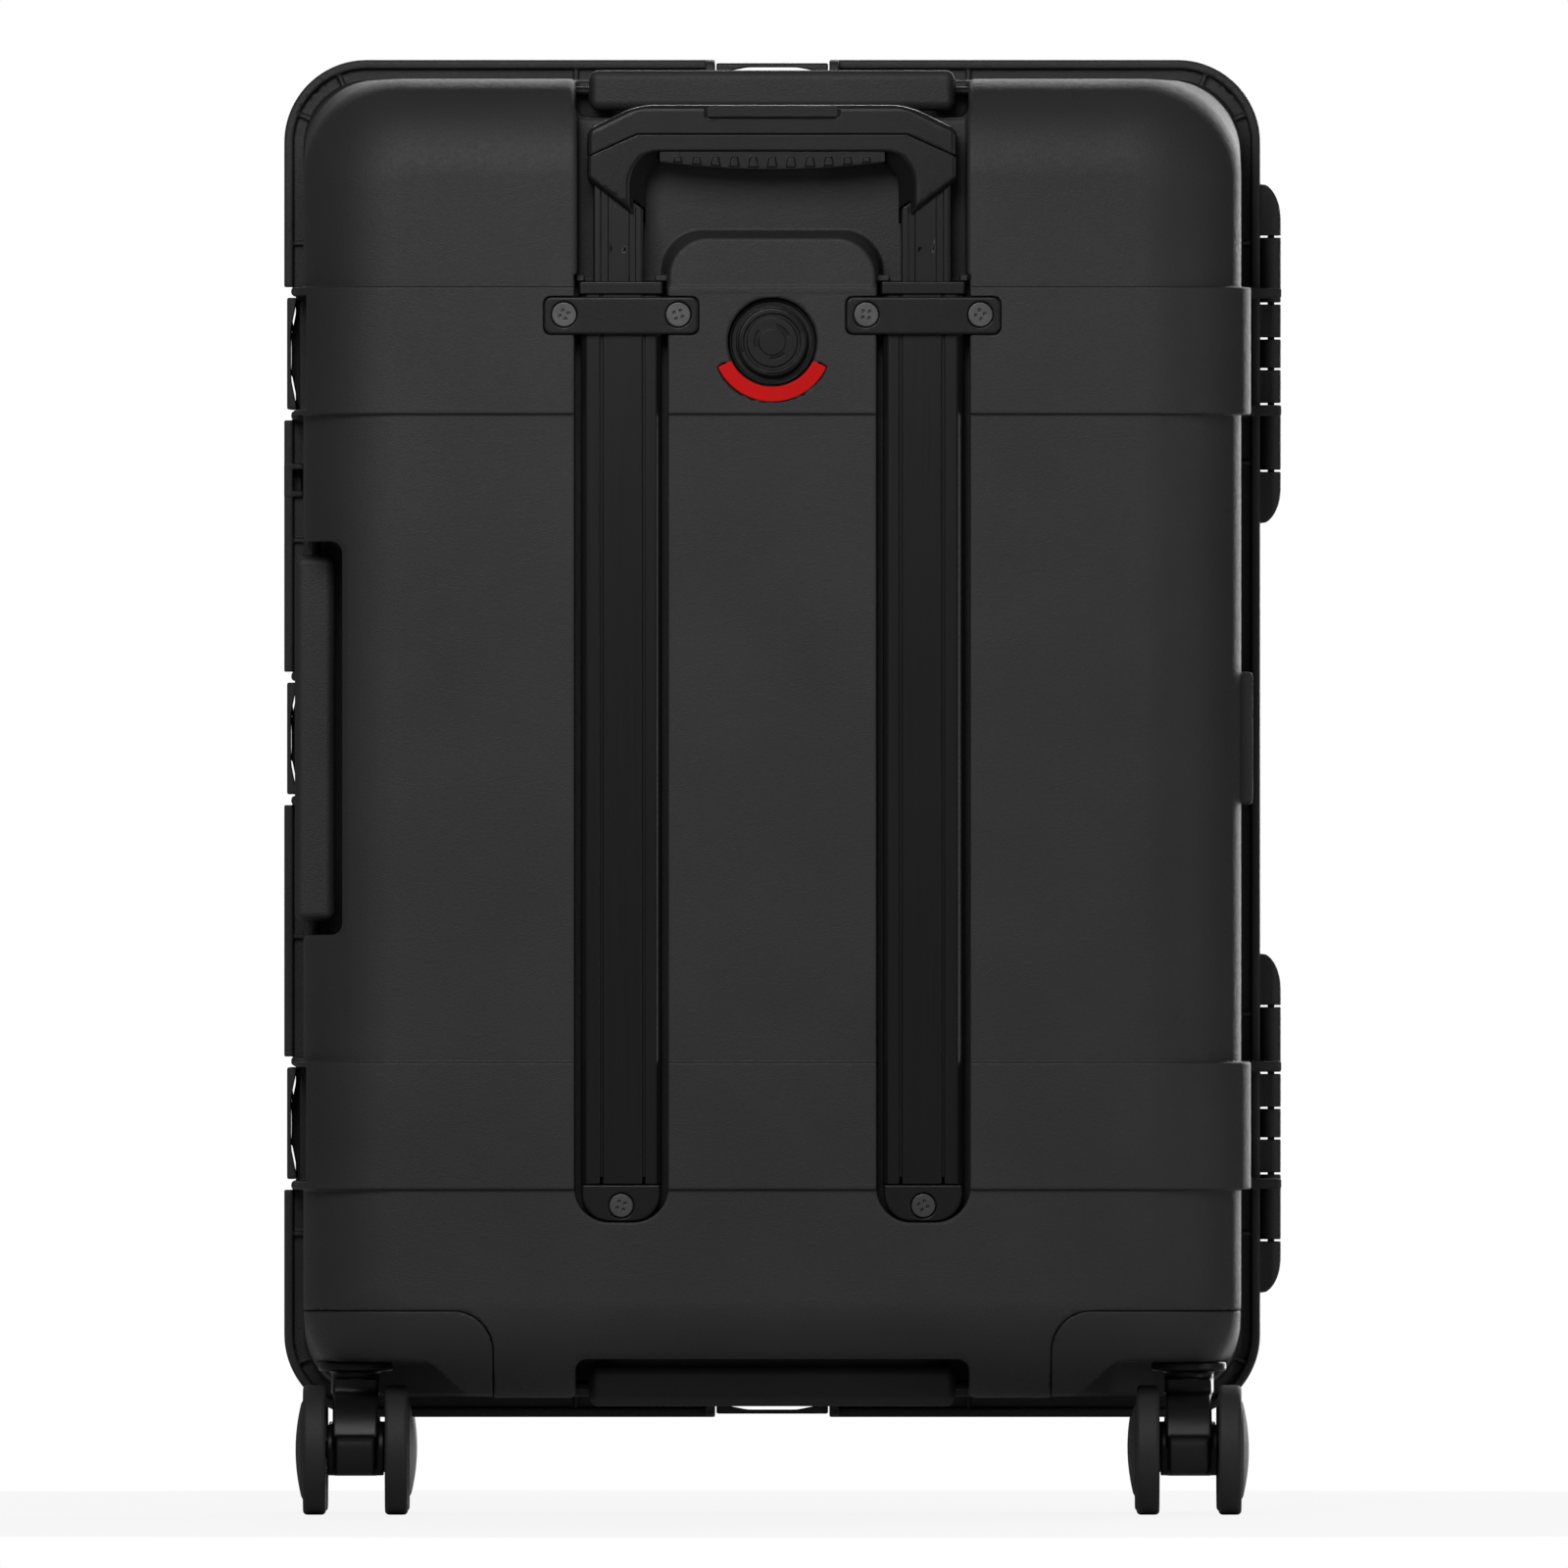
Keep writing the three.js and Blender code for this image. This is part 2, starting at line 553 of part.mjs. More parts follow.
/** Bosses inside the rear shell that the screws run into. */
const screwBosses = () => SCREWS.map(({ x, z, bossEnd }) => block(
  [x - SCREW.boss, x + SCREW.boss], [-REAR.depth, bossEnd], [z - SCREW.boss, z + SCREW.boss],
));
const screwHoles = () => SCREWS.map(({ x, z, bossEnd }) => bar(
  'y', [x, z], SCREW.hole, [-FAR, bossEnd - SCREW.bossFloor], 8,
));

/** Rubbing blocks in the grip recess's lower corners, beside the tubes. */
const gripBumpers = () => [-1, 1].flatMap((hand) => BUMPER.x.map((span) => block(
  span.map((x) => hand * x).sort((a, b) => a - b),
  [BUMPER.y, GRIP_RECESS.floor + 1],
  BUMPER.rise.map((rise) => GRIP_RECESS.bottom + rise),
)));

/** A flat ring sector about the valve's centre, with its angles in degrees. */
function arcOutline(inner, outer, from, to) {
  const [a, b] = [from, to].map(THREE.MathUtils.degToRad);
  const shape = new THREE.Shape();
  shape.absarc(0, VALVE.z, outer, a, b, false);
  shape.absarc(0, VALVE.z, inner, b, a, true);
  shape.closePath();
  return shape;
}

const badgeSeat = () => extrude(
  arcOutline(
    VALVE.recess - BADGE.seatOverlap,
    BADGE.outer + GAP,
    BADGE.from - BADGE.seatPlay,
    BADGE.to + BADGE.seatPlay,
  ),
  'elevation', [-FAR, BADGE.seat], 5,
);

function rearShell() {
  const sides = HANDLES.map(sideFrame);
  const latches = LATCHES.map(sideFrame);
  const casters = CASTERS.filter(({ half }) => half === REAR);
  let outer = join([
    tub(REAR, 0), ...rim(REAR), ...bands(REAR), sidePad(REAR), padlockBoss(REAR),
  ]);
  outer = cut(outer, latches.flatMap((frame) => placed(latchClearance(REAR), frame)));
  outer = outer.add(join([
    ...hingeKnuckles(REAR),
    ...latches.flatMap((frame) => placed(latchGuards(REAR), frame)),
  ]));
  outer = cut(outer, [
    ...railChannels(), gripRecess(), ...clampPockets(),
    ...sides.flatMap((frame) => placed([handleRecess()], frame)),
    ...casters.map((caster) => housingBlock(caster, GAP)),
    bar('y', [0, VALVE.z], VALVE.recess, [-FAR, VALVE.recessY], 24),
    badgeSeat(), padlockSlot(),
  ]);
  outer = outer.add(join([bandTab(), ...gripBumpers()]));
  const hollow = cut(toSolid(tub(REAR, WALL)), [
    ...railChannels(WALL), gripRecess(WALL), ...clampPockets(WALL),
    ...sides.flatMap((frame) => placed([handleRecess(WALL), ...handleRodBosses()], frame)),
    ...casters.map((caster) => housingBlock(caster, GAP + WALL)),
    bar('y', [0, VALVE.z], VALVE.recess + WALL, [-FAR, VALVE.recessY + WALL]),
    ...screwBosses(),
  ]).add(toSolid(bandTab(WALL)));
  return cut(outer.subtract(hollow), [
    ...hingeBores(), ...screwHoles(),
    ...sides.flatMap((frame) => placed([handleRodBore()], frame)),
    bar('y', [0, VALVE.z], VALVE.stem + GAP, [-FAR, VALVE.boreEnd]),
  ]);
}

/** Upright ribs on the lid's face, between the bands. */
const lidRibs = () => LID_RIBS.places.map((x) => extrude(
  roundedRectangle(
    [x - LID_RIBS.width / 2, x + LID_RIBS.width / 2],
    [CENTRE_Z - BAND.near - LID_RIBS.overrun, CENTRE_Z + BAND.near + LID_RIBS.overrun],
    1,
  ),
  'elevation', [LID.depth - 1, LID.depth + BAND.rise], 1,
));

function lidShell() {
  const latches = LATCHES.map(sideFrame);
  const casters = CASTERS.filter(({ half }) => half === LID);
  let outer = join([
    tub(LID, 0), ...rim(LID), ...bands(LID), sidePad(LID), padlockBoss(LID), ...lidRibs(),
  ]);
  outer = cut(outer, latches.flatMap((frame) => placed(latchClearance(LID), frame)));
  outer = outer.add(join([
    ...hingeKnuckles(LID),
    ...latches.flatMap((frame) => placed([...latchGuards(LID), ...latchLugs()], frame)),
  ]));
  outer = cut(outer, [
    ...latches.flatMap((frame) => placed([latchPocket()], frame)),
    ...casters.map((caster) => housingBlock(caster, GAP)),
  ]);
  const hollow = cut(toSolid(tub(LID, WALL)), [
    ...latches.flatMap((frame) => placed([latchPocket(WALL)], frame)),
    ...casters.map((caster) => housingBlock(caster, GAP + WALL)),
  ]);
  return cut(outer.subtract(hollow), [
    ...hingeBores(),
    ...latches.flatMap((frame) => placed([latchPinBore()], frame)),
    sealRing(SEAL.play, [-1, SEAL.thickness + SEAL.play]),
  ]);
}

/** The seal, or with some play the groove that it lies in. */
function sealRing(play, y) {
  const shape = pierced(rimOutline(SEAL.outer - play), [rimOutline(SEAL.inner + play)]);
  return extrude(shape, 'elevation', y);
}

// ---------------------------------------------------------------------------------------
// Pull handle
// ---------------------------------------------------------------------------------------

const tubeShape = (x, [halfWidth, halfDepth], radius) => roundedRectangle(
  [x - halfWidth, x + halfWidth], [TUBE_Y - halfDepth, TUBE_Y + halfDepth], radius,
);

function rail(hand) {
  const x = hand * RAIL.x;
  const shape = roundedRectangle([x - RAIL.halfWidth, x + RAIL.halfWidth], RAIL.y, RAIL.edge);
  const collar = block([x - RAIL_COLLAR.halfWidth, x + RAIL_COLLAR.halfWidth], RAIL_COLLAR.y, [
    RAIL_COLLAR.z, RAIL.z[1],
  ]);
  const through = [RAIL.z[0] - 1, RAIL.z[1] + 1];
  const cavity = extrude(tubeShape(x, RAIL.cavity, TUBE_EDGE / 2), 'plan', through, 1);
  return cut(join([extrude(shape, 'plan', RAIL.z, 1), collar]), [cavity]);
}

const midTube = (hand) => extrude(
  pierced(
    tubeShape(hand * RAIL.x, MID_TUBE.half, TUBE_EDGE),
    [tubeShape(hand * INNER_TUBE.x, MID_TUBE.cavity, TUBE_EDGE / 2)],
  ),
  'plan', MID_TUBE.z, 1,
);

const innerTube = (hand) => extrude(
  pierced(
    tubeShape(hand * INNER_TUBE.x, INNER_TUBE.half, TUBE_EDGE),
    [tubeShape(hand * INNER_TUBE.x, INNER_TUBE.cavity, TUBE_EDGE / 2)],
  ),
  'plan', INNER_TUBE.z, 1,
);

/** The whole grip's outline, from the rear. */
function gripBlock() {
  const { topHalf, top, shoulderHalf, shoulderZ, sideZ, tipHalf, tipZ, openHalf, openTop } = GRIP;
  const { openRadius, topRadius, shoulderRadius, sideRadius, tipRadius } = GRIP;
  return extrude(outline([
    [-tipHalf, tipZ, tipRadius], [-openHalf, tipZ - tipRadius], [-openHalf, openTop, openRadius],
    [openHalf, openTop, openRadius], [openHalf, tipZ - tipRadius], [tipHalf, tipZ, tipRadius],
    [shoulderHalf, sideZ, sideRadius], [shoulderHalf, shoulderZ, shoulderRadius],
    [topHalf, top, topRadius], [-topHalf, top, topRadius],
    [-shoulderHalf, shoulderZ, shoulderRadius], [-shoulderHalf, sideZ, sideRadius],
  ]), 'elevation', GRIP.y);
}

/** Everything above the line where the grip's cover meets its frame, moved by a distance. */
function aboveGripSeam(shift) {
  const { topHalf, shoulderHalf, seamZ, seamSideZ } = GRIP;
  const slope = (seamZ - seamSideZ) / (shoulderHalf - topHalf);
  const reach = shoulderHalf + 20;
  const low = seamZ + shift - slope * (reach - topHalf);
  return extrude(outline([
    [-reach, low], [-topHalf, seamZ + shift], [topHalf, seamZ + shift], [reach, low],
    [reach, CENTRE_Z + FAR], [-reach, CENTRE_Z + FAR],
  ]), 'elevation', [-FAR, FAR]);
}

/** The cover's raised oblong plate, kept plain. */
const gripPlate = () => extrude(
  roundedRectangle(
    [-GRIP_PLATE.half, GRIP_PLATE.half],
    [GRIP.top - GRIP_PLATE.drop[1], GRIP.top - GRIP_PLATE.drop[0]],
    GRIP_PLATE.radius,
  ),
  'elevation', [GRIP.y[0] - GRIP_PLATE.rise, GRIP.y[0] + 1],
);

const gripCover = () => toSolid(gripBlock())
  .intersect(toSolid(aboveGripSeam(GAP / 2)))
  .add(toSolid(gripPlate()));

/** The grip's lower half: two legs with tube sockets, and the slot of the release bar. */
function gripFrame() {
  const sockets = [-1, 1].map((hand) => extrude(
    tubeShape(hand * INNER_TUBE.x, INNER_TUBE.half.map((h) => h + GAP), TUBE_EDGE),
    'plan', [CENTRE_Z, INNER_TUBE.z[1] + GAP], 1,
  ));
  const slot = block(
    [-RELEASE.half - RELEASE.play, RELEASE.half + RELEASE.play],
    [-FAR, RELEASE.y[1] + RELEASE.play],
    [CENTRE_Z, RELEASE.z[1] + RELEASE.travel + RELEASE.play],
  );
  return cut(toSolid(gripBlock()), [aboveGripSeam(-GAP / 2), ...sockets, slot]);
}

/** The squeeze bar under the grip, ribbed on its face. */
function releaseBar() {
  const { half, z, y, ribs: count, ribShare, ribRise } = RELEASE;
  const body = block([-half, half], [y[0] + ribRise, y[1]], z);
  const pitch = (2 * half) / count;
  const ribs = Array.from({ length: count }, (_, i) => {
    const middle = (i + 0.5) * pitch - half;
    const x = [middle - (ribShare * pitch) / 2, middle + (ribShare * pitch) / 2];
    return block(x, [y[0], y[0] + 2 * ribRise], [z[0] + ribRise, z[1] - ribRise]);
  });
  return join([body, ...ribs]);
}

/** The hole of a screw and the round seat that its head sinks into. */
const countersink = ({ x, z, headY }) => [
  bar('y', [x, z], SCREW.hole, [-FAR, FAR], 8),
  bar('y', [x, z], SCREW.sink, [-FAR, headY[1] + GAP], 16),
];

function clamp(hand) {
  const x = hand * RAIL.x;
  const shape = roundedRectangle([x - CLAMP.halfWidth, x + CLAMP.halfWidth], CLAMP.z, CLAMP.radius);
  const screws = CLAMP_SCREWS.filter((screw) => screw.x * hand > 0);
  return cut(toSolid(extrude(shape, 'elevation', CLAMP.y, 2)), screws.flatMap(countersink));
}

function railCap(hand) {
  const x = hand * RAIL.x;
  const [left, right, [low, high], r] = [
    x - RAIL_CAP.halfWidth, x + RAIL_CAP.halfWidth, RAIL_CAP.z, RAIL_CAP.radius,
  ];
  const shape = outline([[left, low, r], [right, low, r], [right, high], [left, high]]);
  const screws = CAP_SCREWS.filter((screw) => screw.x * hand > 0);
  return cut(toSolid(extrude(shape, 'elevation', RAIL_CAP.y)), screws.flatMap(countersink));
}

/** A flat-headed screw that points to +Y. */
const screw = ({ x, z, head, headY, length }) => join([
  bar('y', [x, z], head, headY, 16),
  bar('y', [x, z], SCREW.shank, [headY[1] - 0.5, headY[1] + length], 8),
]);

// ---------------------------------------------------------------------------------------
// Pressure valve
// ---------------------------------------------------------------------------------------

const valveBody = () => join([
  bar('y', [0, VALVE.z], VALVE.bodyRadius, VALVE.bodyY, 24),
  bar('y', [0, VALVE.z], VALVE.stem, [VALVE.bodyY[0] + 1, VALVE.stemEnd]),
]);

/** The round cap, with a raised outer lip and a raised button in its dished face. */
function valveCap() {
  const [front, back] = VALVE.capY;
  const disc = toSolid(bar('y', [0, VALVE.z], VALVE.cap, [front, back], 24));
  const dish = bar('y', [0, VALVE.z], VALVE.cap - VALVE.lip, [front - 1, front + VALVE.dish], 24);
  const button = bar('y', [0, VALVE.z], VALVE.button, [front, back - 1]);
  return disc.subtract(toSolid(dish)).add(toSolid(button));
}

const valveBadge = () => extrude(
  arcOutline(BADGE.inner, BADGE.outer, BADGE.from, BADGE.to), 'elevation', BADGE.y, 6,
);

// ---------------------------------------------------------------------------------------
// Latches and carry handles, in a side's frame
// ---------------------------------------------------------------------------------------

/** A lever hinged on the lid, whose plate reaches back over the rear shell's rim. */
function latch() {
  const z = [-LATCH.half, LATCH.half];
  const plate = extrude(roundedRectangle([LATCH.tip, LATCH.pivotY], z, LATCH.corner), 'profile', [
    LATCH.inner, LATCH.outer,
  ], 1);
  const web = block(
    [LATCH.pivotX, (LATCH.inner + LATCH.outer) / 2],
    [LATCH.pivotY - LATCH.barrel, LATCH.pivotY],
    z,
  );
  const barrel = bar('z', [LATCH.pivotX, LATCH.pivotY], LATCH.barrel, z);
  return cut(join([plate, web, barrel]), [latchPinBore()]);
}

const latchPin = () => bar(
  'z', [LATCH.pivotX, LATCH.pivotY], LATCH.pin, [-LATCH_LUG.pinEnd, LATCH_LUG.pinEnd], 8,
);

/** A swing handle: a grip bar on two arms, each bored for the pivot rod. */
function carryHandle() {
  const { half, back, front, far, near, armInner, armBack, armFront, pivotX, pivotY } = HANDLE;
  const grip = extrude(
    outline([[back, far, 4], [front, far, 6], [front, near, 3], [back, near, 4]]),
    'plan', [-half, half], 2,
  );
  const arms = [-1, 1].flatMap((sign) => {
    const z = [armInner, half].map((v) => sign * v).sort((a, b) => a - b);
    return [
      block([armBack, armFront], [near - 5, pivotY], z),
      bar('z', [pivotX, pivotY], (armFront - armBack) / 2, z),
    ];
  });
  return cut(join([grip, ...arms]), [handleRodBore()]);
}

const handleRod = () => bar(
  'z', [HANDLE.pivotX, HANDLE.pivotY], HANDLE.rod, [-HANDLE.rodHalf, HANDLE.rodHalf], 10,
);

// ---------------------------------------------------------------------------------------
// Casters, each drawn about its own swivel axis
// ---------------------------------------------------------------------------------------

/** The moulded corner that a caster turns in: part of the shell's form, with a wheel well. */
function casterHousing(caster) {
  const { half, hand, well, y } = caster;
  const x = hand * CASTER.x;
  const [inner, outer] = HOUSING.x.map((v) => hand * v).sort((a, b) => a - b);
  const limits = depthSpan(half, well.near + HOUSING.wall, half.depth - HOUSING.wall);
  const form = toSolid(tub(half, 0))
    .intersect(toSolid(housingBlock(caster)))
    .intersect(toSolid(block([-FAR, FAR], [-FAR, FAR], HOUSING.z)));
  const roofSpace = toSolid(tub(half, HOUSING.wall)).intersect(toSolid(block(
    [inner + (hand > 0 ? HOUSING.wall : 0), outer - (hand > 0 ? 0 : HOUSING.wall)],
    limits,
    [HOUSING.roof, FAR],
  )));
  const corner = toSolid(block(
    hand > 0 ? [0, inner + HOUSING.radius] : [outer - HOUSING.radius, 0],
    [-FAR, FAR],
    [HOUSING.roof, FAR],
  ));
  return cut(form.subtract(roofSpace.subtract(corner)), [
    bar('z', [x, y], well.radius, [-FAR, CASTER.ceiling], 24),
    bar('z', [x, y], CASTER.pin + GAP, [CASTER.ceiling - 1, CASTER.pinTop + GAP], 8),
  ]);
}

/** The swivelling fork: king pin, flange, stem and a body between the wheels on their axle. */
function casterFork() {
  const { trail, axleZ, flange, flangeZ, stem, pin, pinTop } = CASTER;
  const { half, hub, hubEnd, axle, axleEnd } = FORK;
  const arc = (shape, { radius, from, to }) => shape.absarc(
    -trail, axleZ, radius, THREE.MathUtils.degToRad(from), THREE.MathUtils.degToRad(to), false,
  );
  const fender = new THREE.Shape();
  fender.moveTo(stem, flangeZ[0] - FENDER.sink);
  fender.lineTo(-stem, flangeZ[0] - FENDER.sink);
  arc(fender, FENDER);
  fender.lineTo(-trail, axleZ + FENDER.toe);
  fender.lineTo(0, axleZ + FENDER.heel);
  fender.closePath();
  const shin = new THREE.Shape();
  arc(shin, SHIN);
  shin.lineTo(-trail, axleZ + SHIN.heel);
  shin.closePath();
  return join([
    extrude(fender, 'profile', [-half, half]),
    extrude(shin, 'profile', [-SHIN.half, SHIN.half]),
    bar('z', [0, 0], stem, [flangeZ[0] - 8, flangeZ[0] + 1]),
    bar('z', [0, 0], flange, flangeZ, 16),
    bar('z', [0, 0], pin, [flangeZ[0] + 1, pinTop], 8),
    bar('x', [-trail, axleZ], hub, [-hubEnd, hubEnd]),
    bar('x', [-trail, axleZ], axle, [-axleEnd, axleEnd], 8),
  ]);
}

/** A solid wheel with a domed hub cap outside and a blind bore inside; it stands on a flat. */
function wheel(hand) {
  const rim = CASTER.wheel / Math.cos(Math.PI / CASTER.sides);
  const profile = [
    [0, WHEEL.hub], [WHEEL.hubFace, WHEEL.hub],
    [rim - WHEEL.edge[0], WHEEL.tread], [rim, WHEEL.tread - WHEEL.edge[1]],
    [rim, WHEEL.inner], [WHEEL.bore, WHEEL.inner],
    [WHEEL.bore, WHEEL.boreEnd], [0, WHEEL.boreEnd],
  ].map(([radius, x]) => new THREE.Vector2(radius, x));
  const geometry = new THREE.LatheGeometry(profile.reverse(), CASTER.sides, Math.PI / CASTER.sides);
  geometry.rotateZ(hand > 0 ? -Math.PI / 2 : Math.PI / 2);
  return toSolid(geometry);
}

// ---------------------------------------------------------------------------------------
// Scene graph
// ---------------------------------------------------------------------------------------

function mesh(name, shape, material) {
  const geometry = shape instanceof THREE.BufferGeometry ? shape : toGeometry(shape);
  const made = new THREE.Mesh(geometry, material);
  made.name = name;
  return made;
}

/** A group that places meshes drawn in a side's frame. */
function atSide(place, ...meshes) {
  const group = new THREE.Group();
  group.applyMatrix4(sideFrame(place));
  return group.add(...meshes);
}

function shells() {
  const pins = HINGE_CENTRES.map(([name, z]) => {
    const span = knuckles(z);
    const pin = bar('z', [HINGE.x, 0], HINGE.pin, [span.at(-1)[0] + 0.5, span[0][1] - 0.5], 12);
    return mesh(`hinge_pin_${name}`, pin, STEEL);
  });
  return [
    mesh('rear_shell', rearShell(), SHELL_PLASTIC),
    mesh('lid_shell', lidShell(), SHELL_PLASTIC),
    mesh('lid_seal', sealRing(0, [0, SEAL.thickness]), SEAL_RUBBER),
    ...pins,
  ];
}

function pullHandle() {
  const pairs = [-1, 1].flatMap((hand) => [
    mesh(`rail_${handName(hand)}`, rail(hand), RAIL_ALUMINIUM),
    mesh(`mid_tube_${handName(hand)}`, midTube(hand), RAIL_ALUMINIUM),
    mesh(`inner_tube_${handName(hand)}`, innerTube(hand), RAIL_ALUMINIUM),
    mesh(`rail_clamp_${handName(hand)}`, clamp(hand), TRIM_PLASTIC),
    mesh(`rail_cap_${handName(hand)}`, railCap(hand), TRIM_PLASTIC),
  ]);
  return [
    ...pairs,
    ...SCREWS.map((place) => mesh(place.name, screw(place), STEEL)),
    mesh('grip_cover', gripCover(), TRIM_PLASTIC),
    mesh('grip_frame', gripFrame(), TRIM_PLASTIC),
    mesh('release_bar', releaseBar(), TRIM_PLASTIC),
  ];
}

const valve = () => [
  mesh('valve_body', valveBody(), TRIM_PLASTIC),
  mesh('valve_cap', valveCap(), TRIM_PLASTIC),
  mesh('valve_badge', valveBadge(), BADGE_RED),
];

const latchSets = () => LATCHES.map((place) => atSide(
  place,
  mesh(`latch_${place.name}`, latch(), SHELL_PLASTIC),
  mesh(`latch_pin_${place.name}`, latchPin(), STEEL),
));

const handleSets = () => HANDLES.map((place) => atSide(
  place,
  mesh(`handle_${place.name}`, carryHandle(), SHELL_PLASTIC),
  mesh(`handle_rod_${place.name}`, handleRod(), STEEL),
));

/** A caster: the housing in the case frame, and the fork and wheels about the swivel axis. */
const casterSets = () => CASTERS.flatMap((caster) => {
  const turning = new THREE.Group();
  turning.position.set(caster.hand * CASTER.x, caster.y, 0);
  turning.add(mesh(`caster_fork_${caster.name}`, casterFork(), TRIM_PLASTIC));
  for (const hand of [-1, 1]) {
    const made = mesh(`wheel_${caster.name}_${handName(hand)}`, wheel(hand), TYRE_RUBBER);
    made.position.set(0, -CASTER.trail, CASTER.axleZ);
    turning.add(made);
  }
  return [mesh(`caster_housing_${caster.name}`, casterHousing(caster), SHELL_PLASTIC), turning];
});

// The box spans from the rim on the latch side to the hinge barrels, and from the valve's badge
// to the lid's bands.
const boxCentreX = (HINGE.x + HINGE.barrel - RIM.halfWidth) / 2;
const boxCentreY = (BADGE.y[0] + LID.depth + BAND.rise) / 2;

const equipmentCase = new THREE.Group();
equipmentCase.position.set(-boxCentreX, -boxCentreY, 0);
equipmentCase.add(
  ...shells(), ...pullHandle(), ...valve(), ...latchSets(), ...handleSets(), ...casterSets(),
);

export default equipmentCase;
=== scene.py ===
"""Looks of the hard equipment case: its moulded shells, pull handle, latches and casters.

Every shape is a distance function: negative inside a piece, positive outside it. A piece's
function is sampled on a grid whose lines crowd together near its edges, and the surface found
there is moved onto the exact shape, so that edges and fillets keep their true radii.

Lengths are millimetres in the case frame, as in the CAD: X = 0 midway between the side walls,
Y = 0 at the parting plane, Z = 0 at the floor. Meshes are placed in the row frame in metres.
"""

import math

import bpy
import numpy as np
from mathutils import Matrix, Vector


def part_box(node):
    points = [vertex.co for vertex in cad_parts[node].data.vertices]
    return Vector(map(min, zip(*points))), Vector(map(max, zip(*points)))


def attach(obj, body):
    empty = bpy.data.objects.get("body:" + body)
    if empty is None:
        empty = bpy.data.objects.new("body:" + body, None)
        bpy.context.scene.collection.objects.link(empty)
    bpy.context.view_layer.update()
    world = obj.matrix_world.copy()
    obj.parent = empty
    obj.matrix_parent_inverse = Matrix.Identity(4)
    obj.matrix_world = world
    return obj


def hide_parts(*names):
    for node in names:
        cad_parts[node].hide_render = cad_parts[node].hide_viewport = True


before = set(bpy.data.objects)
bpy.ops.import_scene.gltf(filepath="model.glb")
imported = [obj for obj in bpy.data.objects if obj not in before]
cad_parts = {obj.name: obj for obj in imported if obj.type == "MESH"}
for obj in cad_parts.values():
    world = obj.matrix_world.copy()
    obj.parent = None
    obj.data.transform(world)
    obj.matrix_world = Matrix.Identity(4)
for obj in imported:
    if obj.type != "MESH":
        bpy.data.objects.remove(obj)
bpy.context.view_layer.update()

MM = 0.001
SEAL_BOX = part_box("lid_seal")  # centred between the side walls, and it starts at the parting plane
ORIGIN = np.array([(SEAL_BOX[0][0] + SEAL_BOX[1][0]) / 2, SEAL_BOX[0][1], 0.0])

# ---------------------------------------------------------------------------------------
# Driving dimensions, as in the CAD
# ---------------------------------------------------------------------------------------

CENTRE_Z = 395
WALL = 3.5
GAP = 0.3
SEAM = 0.25
HALF_WIDTH, HALF_HEIGHT = 238.5, 335.5
MOUTH_RADIUS, BACK_RADIUS, FILLET = 31.5, 58, 50
REAR = {"side": -1, "depth": 160}
LID = {"side": 1, "depth": 134}

RIM = {"half_width": 248.75, "half_height": 346, "radius": 42, "plate": 8, "bead": 12, "width": 4.5}
GUSSET = {"half": 1.1, "top": 11, "across": 100, "right": (140.6, 252.6), "left": (101, 252.6)}
GUSSET_ANGLES = (22.5, 67.5)
SEAL_GROOVE = (-12.25, -8.55)
PADLOCK_Z = 526.75

BAND = {"near": 164.6, "far": 229.5, "rise": 2, "half_width": 243.5, "rib": 5, "reach": 259.5}
TAB = {"half_width": 52.5, "bottom": 620.5, "top": 649.5, "radius": 20, "draft": 0.11}
SIDE_PAD = {"half": 33.75, "x": 244.5, "depth": 110}
LID_RIBS = {"places": (-150, -50, 50, 150), "half": 15}

HINGE = {"x": 254.5, "offset": 196.3, "barrel": 5.4, "pin": 1.75, "gap": 1}
KNUCKLES = (27.2, 34.1, 17.85, 15.6, 17.85, 34.1, 27.2)  # rear, lid, rear ... from the top

LATCH = {"half": 28.5, "cut": 29.3, "guard": 34, "tip": -13, "pivot": (1, 32)}
LATCH["guard_tops"] = {"side": 6.9, "top": 10.25, "bottom": 10.25}
LATCH_PLACES = {
    "side_upper": ("side", -HINGE["offset"]),
    "side_middle": ("side", 0),
    "side_lower": ("side", HINGE["offset"]),
    "top": ("top", 0),
    "bottom": ("bottom", 0),
}
HANDLE = {"half": 92.5, "back": -16, "front": 4.4, "far": -110, "near": -80, "arm": 80}
HANDLE["pivot"] = (-6, -52)
HANDLE_RECESS = {"half": 100, "floor": -20, "near": -44}

RAIL_X = 76.75
RAIL = {"half": 20.5, "y": (-157.5, -141), "z": (168.5, 627), "collar": 620.4}
TUBE_X, TUBE_Y = 78.2, -149.25
CHANNEL = {"inner": 53, "outer": 100.5, "bottom": 149, "top": 630, "floor": -140, "radius": 18}
GRIP_RECESS = {"half": 99, "bottom": 627, "floor": -130}
CLAMP = {"half": 39.25, "z": (600.25, 619.25), "y": (-162, -158), "radius": 4}
CLAMP_SCREW = {"offset": 29, "z": 610.25, "radius": 6.25, "shank": 12, "face": -161.9}
CAP = {"half": 20, "z": (149.4, 168.2), "y": (-157, -140.4), "radius": 14}
CAP_SCREW = {"z": 157.5, "radius": 6, "shank": 20, "face": -156.9}
GRIP_Y = (-158, -134)

VALVE_Z = 596.4
VALVE = {"recess": 22.5, "floor": -152.5, "cap": 17.5, "cap_y": (-161.5, -155.8)}
BADGE = {"inner": 22.9, "outer": 30.5, "half_angle": 65, "y": (-162.6, -161.2)}

CASTER = {"x": 212, "rear_y": -100, "lid_y": 76, "trail": 16, "axle_z": 33, "wheel": 33}
HOUSING = {"inner": 142, "z": (59, 103.75), "radius": 20, "near": {-1: 36, 1: 13.5}}

FAR = 1000

# ---------------------------------------------------------------------------------------
# Distance functions
# ---------------------------------------------------------------------------------------


